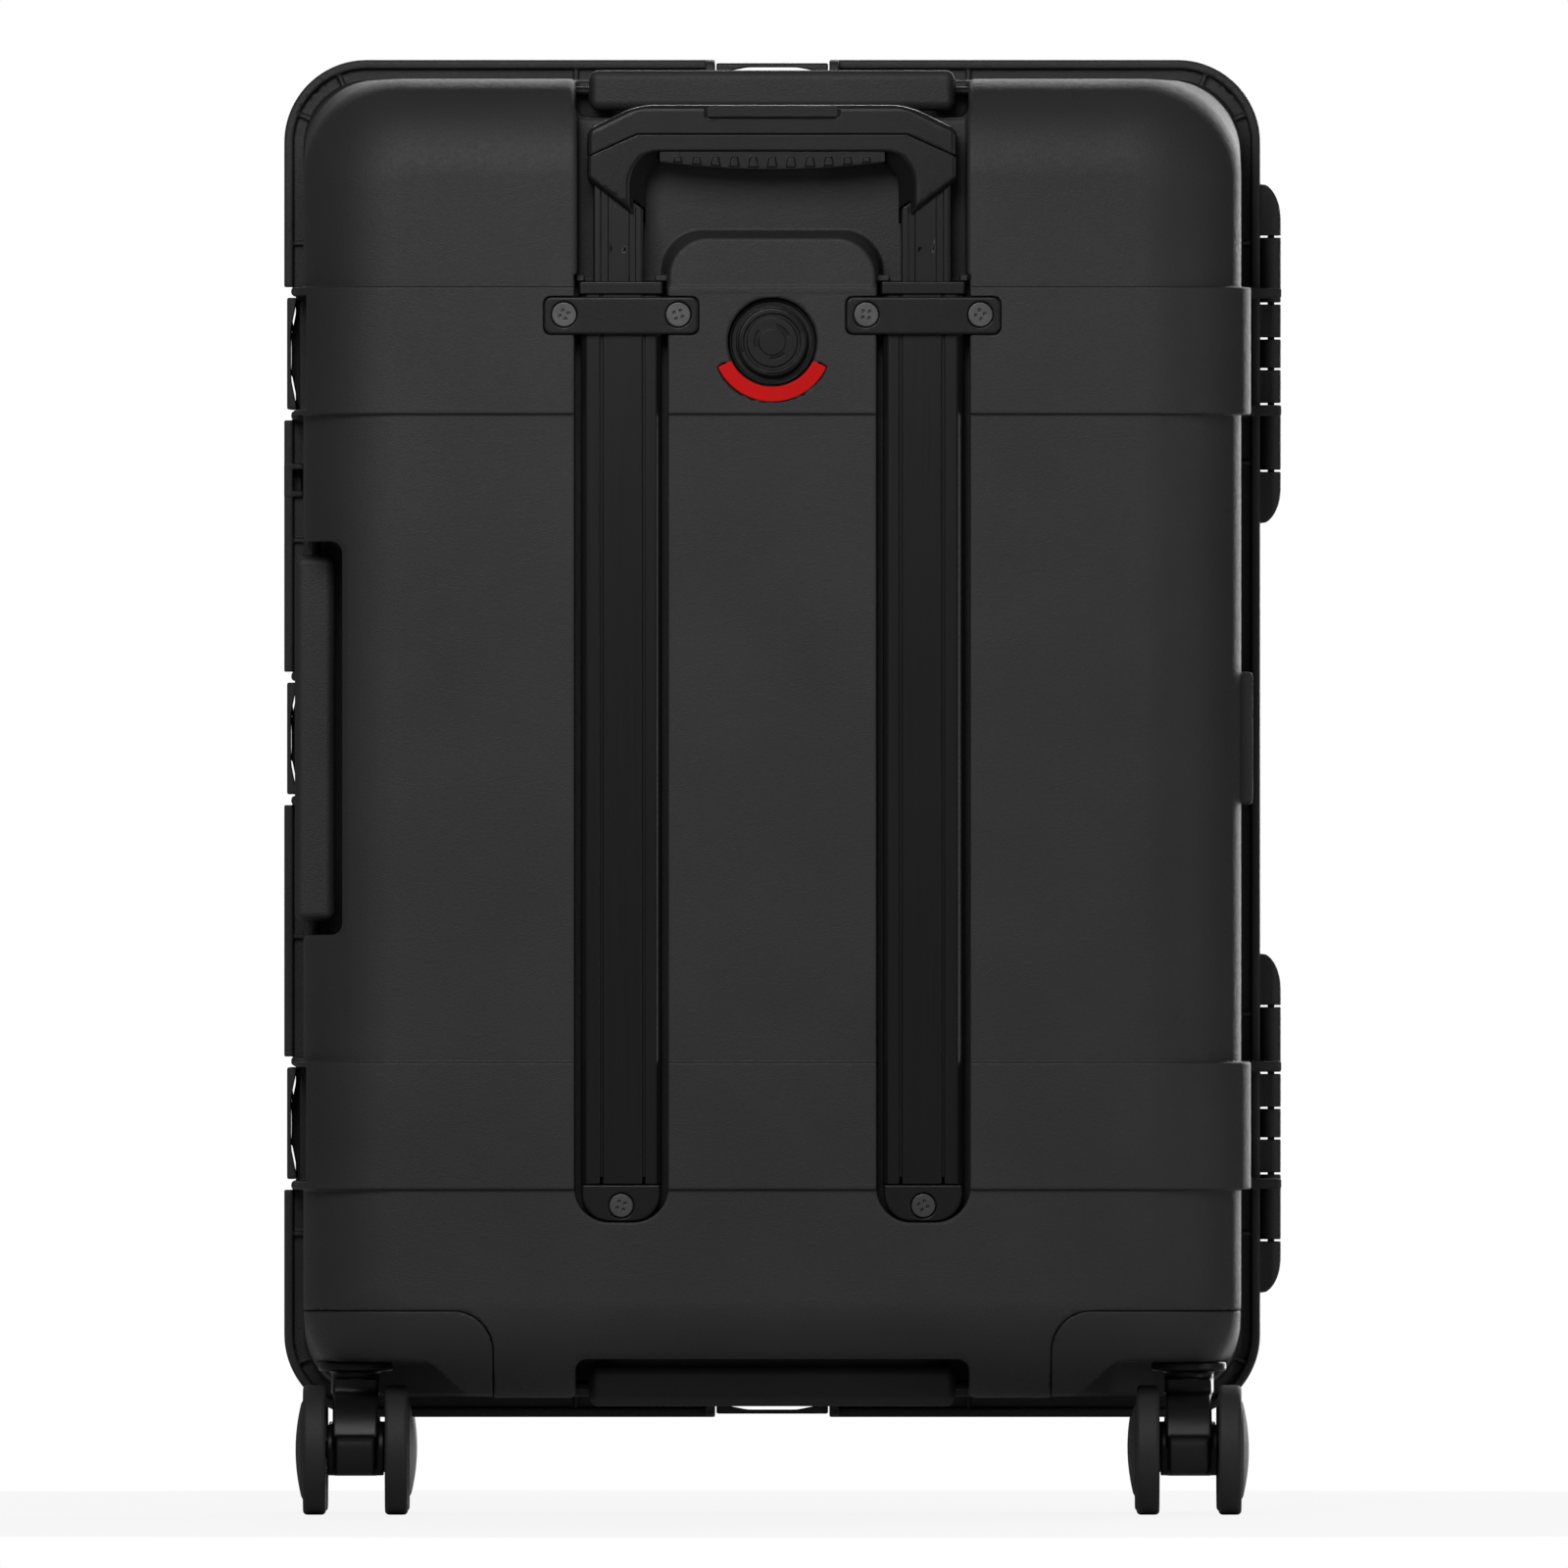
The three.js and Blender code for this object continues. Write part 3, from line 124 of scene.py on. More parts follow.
def length(a, b):
    return np.sqrt(a * a + b * b)


def both(a, b, edge=0.0):
    """What lies in two shapes, with their common edge rounded."""
    if edge == 0:
        return np.maximum(a, b)
    beyond = length(np.maximum(a + edge, 0), np.maximum(b + edge, 0)) - edge
    return beyond + np.minimum(np.maximum(a, b) + edge, 0)


def either(a, b, fillet=0.0):
    """What lies in one shape or the other, with a fillet between them."""
    return -both(-a, -b, fillet)


def cut(a, b, edge=0.0):
    """The first shape without the second."""
    return both(a, -b, edge)


def slab(value, low, high):
    return np.maximum(low - value, value - high)


def rounded(u, v, half_u, half_v, radius):
    """A rectangle about the origin of a plane, with rounded corners."""
    a = abs(u) - (half_u - radius)
    b = abs(v) - (half_v - radius)
    return length(np.maximum(a, 0), np.maximum(b, 0)) + np.minimum(np.maximum(a, b), 0) - radius


# ---------------------------------------------------------------------------------------
# From a distance function to a mesh
# ---------------------------------------------------------------------------------------

CORNERS = [(i, j, k) for i in (0, 1) for j in (0, 1) for k in (0, 1)]
CELL_EDGES = [
    (a, b) for a in range(8) for b in range(a + 1, 8)
    if sum(p != q for p, q in zip(CORNERS[a], CORNERS[b])) == 1
]
TETRAHEDRON = np.array([(1, -1, -1), (-1, -1, 1), (-1, 1, -1), (1, 1, 1)], float)
PROBE = 0.02
CHUNK = 20


def lines(low, high, coarse, edges=(), fine=0.6, growth=0.55, curved=(), bend=4.5):
    """Grid lines between two limits, crowded about the places of edges and in curved parts."""
    edges = np.array(list(edges) or [low - 1e6])
    places = [low]
    while places[-1] < high:
        at = places[-1]
        most = coarse
        for start, end in curved:
            if at + coarse > start and at < end:
                most = bend if at > start - bend else max(bend, start - at)
        step = fine
        for _ in range(3):
            away = np.min(abs(edges - at - step / 2))
            step = min(most, fine + growth * max(away - fine, 0))
        places.append(at + step)
    return np.array(places, np.float32)


def mirrored(*values):
    return [sign * value for value in values for sign in (-1, 1)]


def gradient(distance, points):
    """The direction in which a distance function grows, one row for each point."""
    total = np.zeros_like(points)
    for corner in TETRAHEDRON:
        p = points + PROBE * corner
        total += corner * distance(tuple(p.T))[:, None]
    return total / (4 * PROBE)


def settle(distance, points, rounds=3, reach=1.5):
    """Moves points onto the surface."""
    for _ in range(rounds):
        slope = gradient(distance, points)
        steep = np.maximum((slope ** 2).sum(axis=1), 0.25)
        move = slope * (distance(tuple(points.T)) / steep)[:, None]
        size = np.linalg.norm(move, axis=1, keepdims=True)
        points = points - move * np.minimum(1, reach / np.maximum(size, 1e-9))
    return points


def sampled(distance, axes):
    """A distance function on a grid, exact only in the chunks that its surface can touch."""
    field = np.empty([len(axis) for axis in axes], np.float32)
    spans = [[(i, min(i + CHUNK, len(axis))) for i in range(0, len(axis), CHUNK)] for axis in axes]
    chunks = [(a, b, c) for a in spans[0] for b in spans[1] for c in spans[2]]
    low = np.array([[axis[i] for axis, (i, _) in zip(axes, chunk)] for chunk in chunks], float)
    high = np.array([[axis[j - 1] for axis, (_, j) in zip(axes, chunk)] for chunk in chunks], float)
    middles = distance(tuple(((low + high) / 2).T))
    reaches = np.linalg.norm(high - low, axis=1) * 0.55 + 1
    for (a, b, c), middle, reach in zip(chunks, middles, reaches):
        part = field[slice(*a), slice(*b), slice(*c)]
        if abs(middle) > reach:
            part[:] = middle
        else:
            x, y, z = (axis[slice(*span)] for axis, span in zip(axes, (a, b, c)))
            part[:] = distance((x[:, None, None], y[None, :, None], z[None, None, :]))
    return field


def skin(distance, xs, ys, zs):
    """The surface of a shape on a grid: points, and faces of four."""
    field = sampled(distance, (xs, ys, zs))
    inside = field < 0
    count = inside.astype(np.uint8)
    count = count[1:] + count[:-1]
    count = count[:, 1:] + count[:, :-1]
    count = count[:, :, 1:] + count[:, :, :-1]
    mixed = (count > 0) & (count < 8)
    i, j, k = np.nonzero(mixed)
    number = np.full(mixed.shape, -1, np.int32)
    number[i, j, k] = np.arange(len(i))
    values = [field[i + a, j + b, k + c] for a, b, c in CORNERS]
    places = [np.stack([xs[i + a], ys[j + b], zs[k + c]], 1) for a, b, c in CORNERS]
    total = np.zeros((len(i), 3))
    crossings = np.zeros(len(i))
    for a, b in CELL_EDGES:
        crossed = (values[a] < 0) != (values[b] < 0)
        span = np.where(crossed, values[a] - values[b], 1)
        share = np.where(crossed, values[a] / span, 0)[:, None]
        total += np.where(crossed[:, None], places[a] + share * (places[b] - places[a]), 0)
        crossings += crossed
    points = total / crossings[:, None]
    faces = []
    for axis, flip in ((0, False), (1, True), (2, False)):
        solid = np.moveaxis(inside, axis, 0)
        cells = np.moveaxis(number, axis, 0)
        change = (solid[1:] != solid[:-1])[:, 1:-1, 1:-1]
        a, b, c = np.nonzero(change)
        b, c = b + 1, c + 1
        around = ((b - 1, c - 1), (b, c - 1), (b, c), (b - 1, c))
        quads = np.stack([cells[a, p, q] for p, q in around], 1)
        outwards = solid[a, b, c] != flip
        quads[~outwards] = quads[~outwards][:, ::-1]
        faces.append(quads)
    return points, np.concatenate(faces)


def make_mesh(name, points, faces, normals):
    """A smooth mesh with its exact normals, from points in metres."""
    mesh = bpy.data.meshes.new(name)
    sides = faces.shape[1]
    mesh.vertices.add(len(points))
    mesh.vertices.foreach_set("co", np.asarray(points, np.float32).ravel())
    mesh.loops.add(faces.size)
    mesh.loops.foreach_set("vertex_index", faces.ravel().astype(np.int32))
    mesh.polygons.add(len(faces))
    mesh.polygons.foreach_set("loop_start", np.arange(len(faces), dtype=np.int32) * sides)
    mesh.update(calc_edges=True)
    mesh.polygons.foreach_set("use_smooth", np.ones(len(faces), bool))
    mesh.normals_split_custom_set_from_vertices(normals)
    return mesh


def thinned(points, faces, most):
    """The same surface with fewer faces, all triangles."""
    mesh = bpy.data.meshes.new("thinning")
    mesh.from_pydata(points.tolist(), [], faces.tolist())
    holder = bpy.data.objects.new("thinning", mesh)
    bpy.context.scene.collection.objects.link(holder)
    holder.modifiers.new("fewer", "DECIMATE").ratio = most / (2 * len(faces))
    result = holder.evaluated_get(bpy.context.evaluated_depsgraph_get()).to_mesh()
    result.calc_loop_triangles()
    points = np.empty(len(result.vertices) * 3)
    result.vertices.foreach_get("co", points)
    faces = np.empty(len(result.loop_triangles) * 3, np.int32)
    result.loop_triangles.foreach_get("vertices", faces)
    bpy.data.objects.remove(holder)
    return points.reshape(-1, 3), faces.reshape(-1, 3)


def solid(distance, xs, ys, zs, most=None):
    """A piece's points, faces and normals in its own frame."""
    points, faces = skin(distance, xs, ys, zs)
    points = settle(distance, points)
    if most and 2 * len(faces) > most:
        points, faces = thinned(points, faces, most)
        points = settle(distance, points, rounds=1, reach=0.3)
    normals = gradient(distance, points)
    normals /= np.maximum(np.linalg.norm(normals, axis=1, keepdims=True), 1e-9)
    return points, faces, normals


def place(name, shape, body, material, turn=None, shift=(0, 0, 0), mirror=False, finish=None):
    """Adds the look of a node: turned and shifted into the case frame, then into the row frame."""
    points, faces, normals = shape
    if mirror:
        flip = np.array([-1, 1, 1])
        points, faces, normals = points * flip, faces[:, ::-1], normals * flip
    if turn is not None:
        points, normals = points @ turn.T, normals @ turn.T
    points = (points + np.array(shift)) * MM + ORIGIN
    look = name + "_look"
    piece = bpy.data.objects.new(look, make_mesh(look, points, np.ascontiguousarray(faces), normals))
    bpy.context.scene.collection.objects.link(piece)
    piece.data.materials.append(MATERIALS[finish or material])
    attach(piece, body)
    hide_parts(name)


# ---------------------------------------------------------------------------------------
# The three sides that carry latches and handles. In a side's own frame the first
# coordinate runs outwards from the shell wall, the second is Y and the third runs along.
# ---------------------------------------------------------------------------------------

SIDE_TURNS = {"side": math.pi, "top": -math.pi / 2, "bottom": math.pi / 2}
SIDE_WALLS = {"side": HALF_WIDTH, "top": HALF_HEIGHT, "bottom": HALF_HEIGHT}


def side_turn(side):
    """The rotation about Y that takes a side's frame into the case frame."""
    angle = SIDE_TURNS[side]
    cosine, sine = round(math.cos(angle)), round(math.sin(angle))
    return np.array([[cosine, 0, sine], [0, 1, 0], [-sine, 0, cosine]], float)


def in_side(point, side, along=0):
    """A point of the case frame in a side's frame."""
    turn = side_turn(side)
    x, z = point[0], point[2] - CENTRE_Z
    out, up = (turn[0, i] * x + turn[2, i] * z for i in (0, 2))
    return out - SIDE_WALLS[side], point[1], up - along


def side_shift(side, along=0):
    return side_turn(side) @ np.array([SIDE_WALLS[side], 0, along]) + np.array([0, 0, CENTRE_Z])


# ---------------------------------------------------------------------------------------
# Shells
# ---------------------------------------------------------------------------------------


def tub(point, half, inset=0.0):
    """The rounded tub of one half, inset by a distance from its outer surface."""
    x, y, z = point
    depth = half["side"] * y
    share = np.clip(depth / half["depth"], 0, 1)
    corner = MOUTH_RADIUS + (BACK_RADIUS - MOUTH_RADIUS) * share - inset
    wall = rounded(x, z - CENTRE_Z, HALF_WIDTH - inset, HALF_HEIGHT - inset, corner)
    return both(wall, depth - half["depth"] + inset, FILLET - inset)


def hollow_tub(point, half):
    """The room inside a tub, with rounder corners than the tub itself."""
    x, y, z = point
    depth = half["side"] * y
    corner = MOUTH_RADIUS + (BACK_RADIUS - MOUTH_RADIUS) * np.clip(depth / half["depth"], 0, 1) + 15
    wall = rounded(x, z - CENTRE_Z, HALF_WIDTH - WALL, HALF_HEIGHT - WALL, corner)
    return both(wall, depth - half["depth"] + WALL, FILLET + 20)


def rim(point, half):
    """The flange round the mouth, with its outer bead and the gussets across its trough."""
    x, y, z = point
    up = z - CENTRE_Z
    depth = half["side"] * y
    outline = rounded(x, up, RIM["half_width"], RIM["half_height"], RIM["radius"])
    plate = both(outline, slab(depth, SEAM, RIM["plate"]), 0.6)
    bead = both(slab(outline, -RIM["width"], 0), slab(depth, SEAM, RIM["bead"]), 1.3)
    gussets = [abs(abs(x) - GUSSET["across"]), abs(abs(up) - GUSSET["right"][1])]
    gussets.append(np.where(x > 0, abs(abs(up) - GUSSET["right"][0]), FAR))
    gussets.append(np.where(x < 0, abs(abs(up) - GUSSET["left"][0]), FAR))
    ends = [abs(up), abs(x), abs(x), abs(x)]
    beyond = [HALF_HEIGHT, HALF_WIDTH, HALF_WIDTH, HALF_WIDTH]
    line = FAR
    for gusset, end, wall in zip(gussets, ends, beyond):
        line = either(line, both(gusset - GUSSET["half"], wall - 4 - end))
    corner_x = abs(x) - RIM["half_width"] + RIM["radius"]
    corner_z = abs(up) - RIM["half_height"] + RIM["radius"]
    for angle in np.radians(GUSSET_ANGLES):
        off = abs(math.cos(angle) * corner_z - math.sin(angle) * corner_x)
        out = math.cos(angle) * corner_x + math.sin(angle) * corner_z
        line = either(line, both(off - GUSSET["half"], 20 - out))
    ribs = both(both(line, outline + 1), slab(depth, SEAM, GUSSET["top"]), 0.6)
    return either(either(plate, bead, 0.8), ribs, 0.8)


def bands(point, half):
    """The two raised bands round the tub, with their edge ribs on the hinge side."""
    x, y, z = point
    depth = half["side"] * y
    middle, half_height = (BAND["far"] + BAND["near"]) / 2, (BAND["far"] - BAND["near"]) / 2
    across = abs(abs(z - CENTRE_Z) - middle) - half_height
    back = depth - half["depth"] - BAND["rise"]
    section = both(abs(x) - BAND["half_width"], back, FILLET + BAND["rise"])
    raised = both(both(section, SEAM - depth), across, 1.1)
    edges = both(across, -across - BAND["rib"])
    ribs = both(edges, both(slab(x, HALF_WIDTH - 1, BAND["reach"]), slab(depth, 9, 45), 2), 1)
    return either(raised, ribs, 1)


def hinges(point, half):
    """One half's hinge knuckles: every other one, starting at the top on the rear shell."""
    x, y, z = point
    up = abs(z - CENTRE_Z) - HINGE["offset"]  # the two hinges mirror each other
    depth = half["side"] * y
    barrel = length(x - HINGE["x"], y) - HINGE["barrel"]
    leaf = both(slab(x, RIM["half_width"] - 2.5, HINGE["x"]), slab(depth, SEAM, HINGE["barrel"]), 0.4)
    whole = either(barrel, leaf)
    reach = sum(KNUCKLES) / 2
    rise = length((x - RIM["half_width"]) / 11, np.maximum(20 - reach + abs(up), 0) / 20) - 1
    whole = both(whole, 11 * rise, 1)
    shape = FAR
    top = reach
    for i, knuckle in enumerate(KNUCKLES):
        if (i % 2 == 0) == (half is REAR):
            span = slab(up, top - knuckle + HINGE["gap"] / 2, top - HINGE["gap"] / 2)
            shape = either(shape, both(whole, span, 0.5))
        top -= knuckle
    bore = both(length(x - HINGE["x"], y) - HINGE["pin"] - 0.3, abs(up) - reach + 6)
    return cut(shape, bore, 0.3)


def latch_frames(point):
    return [(side, *in_side(point, side, along)) for side, along in LATCH_PLACES.values()]


def latch_clearance(point, half):
    """What a latch clears away: the rim's edge and any band below it."""
    reach = 146 if half is REAR else 44
    shape = FAR
    for side, u, y, w in latch_frames(point):
        depth = half["side"] * y
        edge = both(2.75 - u, slab(depth, -1, RIM["bead"] + 1))
        edge = both(edge, abs(w) - LATCH["guard" if side == "side" else "cut"])
        under = both((-1.6 if half is REAR else 0) - u, slab(depth, RIM["plate"], reach))
        shape = either(shape, either(edge, both(under, abs(w) - LATCH["cut"])))
    return shape


def latch_guards(point, half):
    shape = FAR
    for side, u, y, w in latch_frames(point):
        depth = half["side"] * y
        along = slab(abs(w), LATCH["cut"], LATCH["guard"])
        profile = both(u - LATCH["guard_tops"][side], depth - 20, 5)
        guard = both(profile, both(-2 - u, SEAM - depth))
        shape = either(shape, both(guard, along, 2 if side == "side" else 0.8))
    return shape


def latch_lugs(point):
    shape = FAR
    for _, u, y, w in latch_frames(point):
        along = slab(abs(w), LATCH["cut"], LATCH["cut"] + 5)
        profile = both(both(u - 4.5, abs(y - LATCH["pivot"][1]) - 5, 2.5), -2 - u)
        shape = either(shape, both(profile, along, 0.6))
    return shape


def latch_pockets(point, grow=0.0):
    shape = FAR
    for _, u, y, w in latch_frames(point):
        pocket = both(-4 - grow - u, slab(y, 26 - grow, 38 + grow))
        shape = either(shape, both(pocket, abs(w) - LATCH["cut"] - grow))
    return shape


def handle_recesses(point, grow=0.0):
    shape = FAR
    for side in ("side", "top", "bottom"):
        u, y, w = in_side(point, side)
        flat = both(HANDLE_RECESS["floor"] - grow - u, abs(w) - HANDLE_RECESS["half"] - grow, 6 + grow)
        shape = either(shape, both(flat, y - HANDLE_RECESS["near"] - grow, 3))
    return shape


def housing_blocks(point, half, grow=0.0):
    x, y, z = point
    corner = both(HOUSING["inner"] - grow - abs(x), z - HOUSING["z"][1] - grow, HOUSING["radius"] + grow)
    return both(corner, HOUSING["near"][half["side"]] - grow - half["side"] * y)


def channels(point, grow=0.0):
    x, y, z = point
    across = slab(abs(x), CHANNEL["inner"] - grow, CHANNEL["outer"] + grow)
    flat = both(across, CHANNEL["bottom"] - grow - z, CHANNEL["radius"] + grow)
    return both(both(flat, z - CHANNEL["top"] - grow), y - CHANNEL["floor"] - grow)


def grip_recess(point, grow=0.0):
    x, y, z = point
    flat = both(abs(x) - GRIP_RECESS["half"] - grow, GRIP_RECESS["bottom"] - grow - z, 3 + grow)
    return both(flat, y - GRIP_RECESS["floor"] - grow, 2)


def clamp_pockets(point, grow=0.0):
    x, y, z = point
    middle = sum(CLAMP["z"]) / 2
    across = abs(x) - RAIL_X
    half_height = (CLAMP["z"][1] - CLAMP["z"][0]) / 2 + 0.4 + grow
    flat = rounded(across, z - middle, CLAMP["half"] + 0.4 + grow, half_height, CLAMP["radius"] + grow)
    return both(flat, y + 157.7 - grow)


def band_tab(point, inset=0.0):
    """The upper band's raised tab, which stands in the grip recess, or the hollow behind it."""
    x, y, z = point
    draft = TAB["draft"] * np.maximum(y + REAR["depth"], 0)
    spare = inset - draft
    flat = both(abs(x) - TAB["half_width"] + spare, z - TAB["top"] + spare, TAB["radius"] - inset)
    flat = both(flat, TAB["bottom"] - z)
    back = -REAR["depth"] - BAND["rise"] + 0.6 + inset
    return both(flat, slab(y, back, GRIP_RECESS["floor"] + (2 * inset if inset else 1)), 0 if inset else 2)


def bumpers(point):
    x, y, z = point
    across = np.minimum(slab(abs(x), 53.5, 59.5), slab(abs(x), 95.5, 99.5))
    return both(both(across, z - 630.5, 0.8), both(-152 - y, both(y + 129, 627.4 - z)), 0.8)


def padlock_boss(point, half):
    x, y, z = point
    depth = half["side"] * y
    along = abs(z - PADLOCK_Z) - 8.5
    across = slab(x, -RIM["half_width"], -HALF_WIDTH - 0.5)
    return both(both(across, slab(depth, SEAM, RIM["bead"]), 1), along, 1)


def padlock_slot(point):
    x, _, z = point
    return rounded(x + 242, z - PADLOCK_Z, 2.6, 5.5, 0.6)


def side_pad(point, half):
    x, y, z = point
    depth = half["side"] * y
    reach = min(SIDE_PAD["depth"], half["depth"] - FILLET)
    flat = both(x - SIDE_PAD["x"], HALF_WIDTH - 1 - x)
    return both(both(flat, slab(depth, SEAM, reach), 2), abs(z - CENTRE_Z) - SIDE_PAD["half"], 2)


def valve_recess(point, grow=0.0):
    x, y, z = point
    return both(length(x, z - VALVE_Z) - VALVE["recess"] - grow, y - VALVE["floor"] - grow)


def badge_outline(point, grow=0.0, ends=0.0):
    """A ring sector below the valve."""
    x, _, z = point
    away = length(x, z - VALVE_Z)
    ring = slab(away, BADGE["inner"] - grow, BADGE["outer"] + grow)
    half = math.radians(BADGE["half_angle"] + ends)
    side = math.cos(half) * abs(x) + math.sin(half) * (z - VALVE_Z)
    return both(ring, side, 1.2)


def rear_shell(point):
    outer = either(tub(point, REAR), bands(point, REAR), 0.8)
    outer = either(outer, rim(point, REAR), 1)
    outer = either(outer, side_pad(point, REAR))
    outer = either(outer, padlock_boss(point, REAR), 0.6)
    outer = both(outer, SEAM + point[1], 0.5)
    outer = cut(outer, latch_clearance(point, REAR), 0.8)
    outer = either(either(outer, latch_guards(point, REAR), 0.6), hinges(point, REAR))
    edges = ((clamp_pockets, 0.5), (channels, 1.2), (grip_recess, 3), (handle_recesses, 3))
    for recess, edge in edges:
        outer = cut(outer, recess(point), edge)
    outer = cut(outer, housing_blocks(point, REAR, GAP), 1)
    outer = cut(outer, valve_recess(point), 1.5)
    outer = cut(outer, both(badge_outline(point, GAP, 1), point[1] + 160.9), 0.4)
    outer = cut(outer, padlock_slot(point), 0.6)
    outer = either(outer, band_tab(point), 1.5)
    outer = either(outer, bumpers(point))
    hollow = hollow_tub(point, REAR)
    for recess in (channels, grip_recess, clamp_pockets, handle_recesses, valve_recess):
        hollow = cut(hollow, recess(point, WALL))
    hollow = cut(hollow, housing_blocks(point, REAR, GAP + WALL))
    hollow = either(hollow, band_tab(point, WALL))
    return cut(outer, hollow, 0.6)


def lid_ribs(point):
    x, y, z = point
    across = np.min([abs(x - place) for place in LID_RIBS["places"]], axis=0) - LID_RIBS["half"]
    flat = both(across, abs(z - CENTRE_Z) - BAND["near"] - 1)
    return both(flat, slab(y, LID["depth"] - 1, LID["depth"] + BAND["rise"]), 1)


def lid_shell(point):
    x, y, z = point
    outer = either(tub(point, LID), bands(point, LID), 0.8)
    outer = either(outer, lid_ribs(point), 0.8)
    outer = either(outer, rim(point, LID), 1)
    outer = either(outer, side_pad(point, LID))
    outer = either(outer, padlock_boss(point, LID), 0.6)
    outer = both(outer, SEAM - y, 0.5)
    outer = cut(outer, latch_clearance(point, LID), 0.8)
    outer = either(either(outer, latch_guards(point, LID), 0.6), hinges(point, LID))
    outer = either(outer, latch_lugs(point), 0.5)
    outer = cut(outer, latch_pockets(point), 0.8)
    outer = cut(outer, housing_blocks(point, LID, GAP), 1)
    hollow = cut(hollow_tub(point, LID), latch_pockets(point, WALL))
    hollow = cut(hollow, housing_blocks(point, LID, GAP + WALL))
    outer = cut(outer, hollow, 0.6)
    outline = rounded(x, z - CENTRE_Z, RIM["half_width"], RIM["half_height"], RIM["radius"])
    return cut(outer, both(slab(outline, *SEAL_GROOVE), y - 3.25), 0.3)


def shell_lines(half):
    """Grid lines for a shell: crowded at its edges, and finer than its wall where it curves."""
    depth = half["depth"]
    x_edges = mirrored(RIM["half_width"], 244.2, HALF_WIDTH, 218.5, GUSSET["across"], 142, 29.3, 34)
    x_edges += [249.5, 252, 254.5, 257, 259.9, 260.5]
    heights = [RIM["half_height"], 341.5, HALF_HEIGHT, 315.5, BAND["far"], BAND["near"]]
    heights += [BAND["far"] - 5, BAND["near"] + 5, 252.6, 140.6, 101, 98, SIDE_PAD["half"], 29.3, 34]
    top = sum(KNUCKLES) / 2
    for i in range(len(KNUCKLES) + 1):
        heights += [HINGE["offset"] + top - sum(KNUCKLES[:i])]
    heights += [HINGE["offset"] + sign * offset for sign in (-1, 1) for offset in (29.3, 34)]
    z_edges = [CENTRE_Z + z for z in mirrored(*heights)] + [HOUSING["z"][1], PADLOCK_Z + 9, PADLOCK_Z - 9]
    y_edges = [-5.4, -2.5, SEAM, 2.5, 5.4, 8, 12, 20, 30, 45, depth, depth + 2]
    if half is REAR:
        x_edges += mirrored(52.5, 53.5, 59.5, 95.5, 99, 100.5, 116.4, 37.1)
        z_edges += [627, 630, 650, 600, 620, 149, 565.9]
        y_edges += [36, 44, 152, 140, 130, 157.7]
    else:
        x_edges += mirrored(35, 65, 135, 165)
        y_edges += [13.5, 26, 38, 3.25]
    curved_x = [(-241, -178), (178, 241)]
    curved_z = [(57, 119), (671, 733)]
    ys = half["side"] * lines(-6, depth + 2.7, 7, y_edges, curved=[(depth - FILLET - 2, depth + 3)])
    xs = lines(-250, 260.6, 12, x_edges, curved=curved_x)
    zs = lines(48, 742, 12, z_edges, curved=curved_z)
    return xs, np.sort(ys), zs


# ---------------------------------------------------------------------------------------
# Pull handle
# ---------------------------------------------------------------------------------------


def tube_section(point, centre, half, radius):
    return rounded(point[0] - centre, point[1] - TUBE_Y, half[0], half[1], radius)


def rail(point):
    """The right rail, with two grooves down its back and a collar at its top."""
    x, y, z = point
    u = x - RAIL_X
    middle_y = sum(RAIL["y"]) / 2
    body = rounded(u, y - middle_y, RAIL["half"], (RAIL["y"][1] - RAIL["y"][0]) / 2, 1.6)
    grooves = np.minimum(abs(u + 11.5), abs(u - 10)) - 0.75
    body = cut(body, both(grooves, y + 156.3), 0.35)
    step = both(abs(u + 15) - 2.6, y + 157.2)
    body = cut(body, step, 0.25)
    shoulders = (abs(u) - 17.3) * 0.5 - (y - RAIL["y"][0]) * 0.866
    body = both(both(body, shoulders, 0.4), slab(z, *RAIL["z"]), 0.4)
    collar = rounded(u, y + 149.2, 21.7, 8.8, 1.6)
    ring = both(collar, slab(z, RAIL["collar"], RAIL["z"][1]), 0.7)
    return cut(either(body, ring, 0.3), tube_section(point, RAIL_X, (17, 6.8), 0.8), 0.4)


def mid_tube(point):
    outside = tube_section(point, RAIL_X, (16.7, 6.5), 1.4)
    body = cut(outside, tube_section(point, TUBE_X, (13, 5), 0.8), 0.3)
    return both(body, slab(point[2], 172, 622), 0.4)


def leg_foot(x):
    """The height of the slanted lower edge of the grip's leg."""
    return 656.75 + (abs(x) - 66) * 21.5 / 28


def inner_tube(point):
    """The innermost tube: two grooves beside a raised panel, with a detent slot in it."""
    x, y, z = point
    u = x - TUBE_X
    body = tube_section(point, TUBE_X, (12.7, 4.7), 1.2)
    grooves = np.minimum(abs(u + 7.1) - 1.5, abs(u - 7.1) - 1.85)
    body = cut(body, both(grooves, y - TUBE_Y + 3.7), 0.3)
    window = rounded(u, z - 668, 4.2, 26, 4.1)
    body = cut(body, both(window, y - TUBE_Y + 4.3), 0.3)
    body = cut(body, rounded(u, y - TUBE_Y, 11, 3, 0.6))
    return both(both(body, z - leg_foot(x) - 7.5), 176 - z, 0.4)


def clamp(point):
    x, y, z = point
    u = x - RAIL_X
    middle = sum(CLAMP["z"]) / 2
    half_height = (CLAMP["z"][1] - CLAMP["z"][0]) / 2
    flat = rounded(u, z - middle, CLAMP["half"], half_height, CLAMP["radius"])
    body = both(flat, slab(y, *CLAMP["y"]), 1.1)
    away = length(abs(u) - CLAMP_SCREW["offset"], z - CLAMP_SCREW["z"])
    body = cut(body, both(away - 6.6, y + 159.6), 0.5)
    return cut(body, away - 2.8)


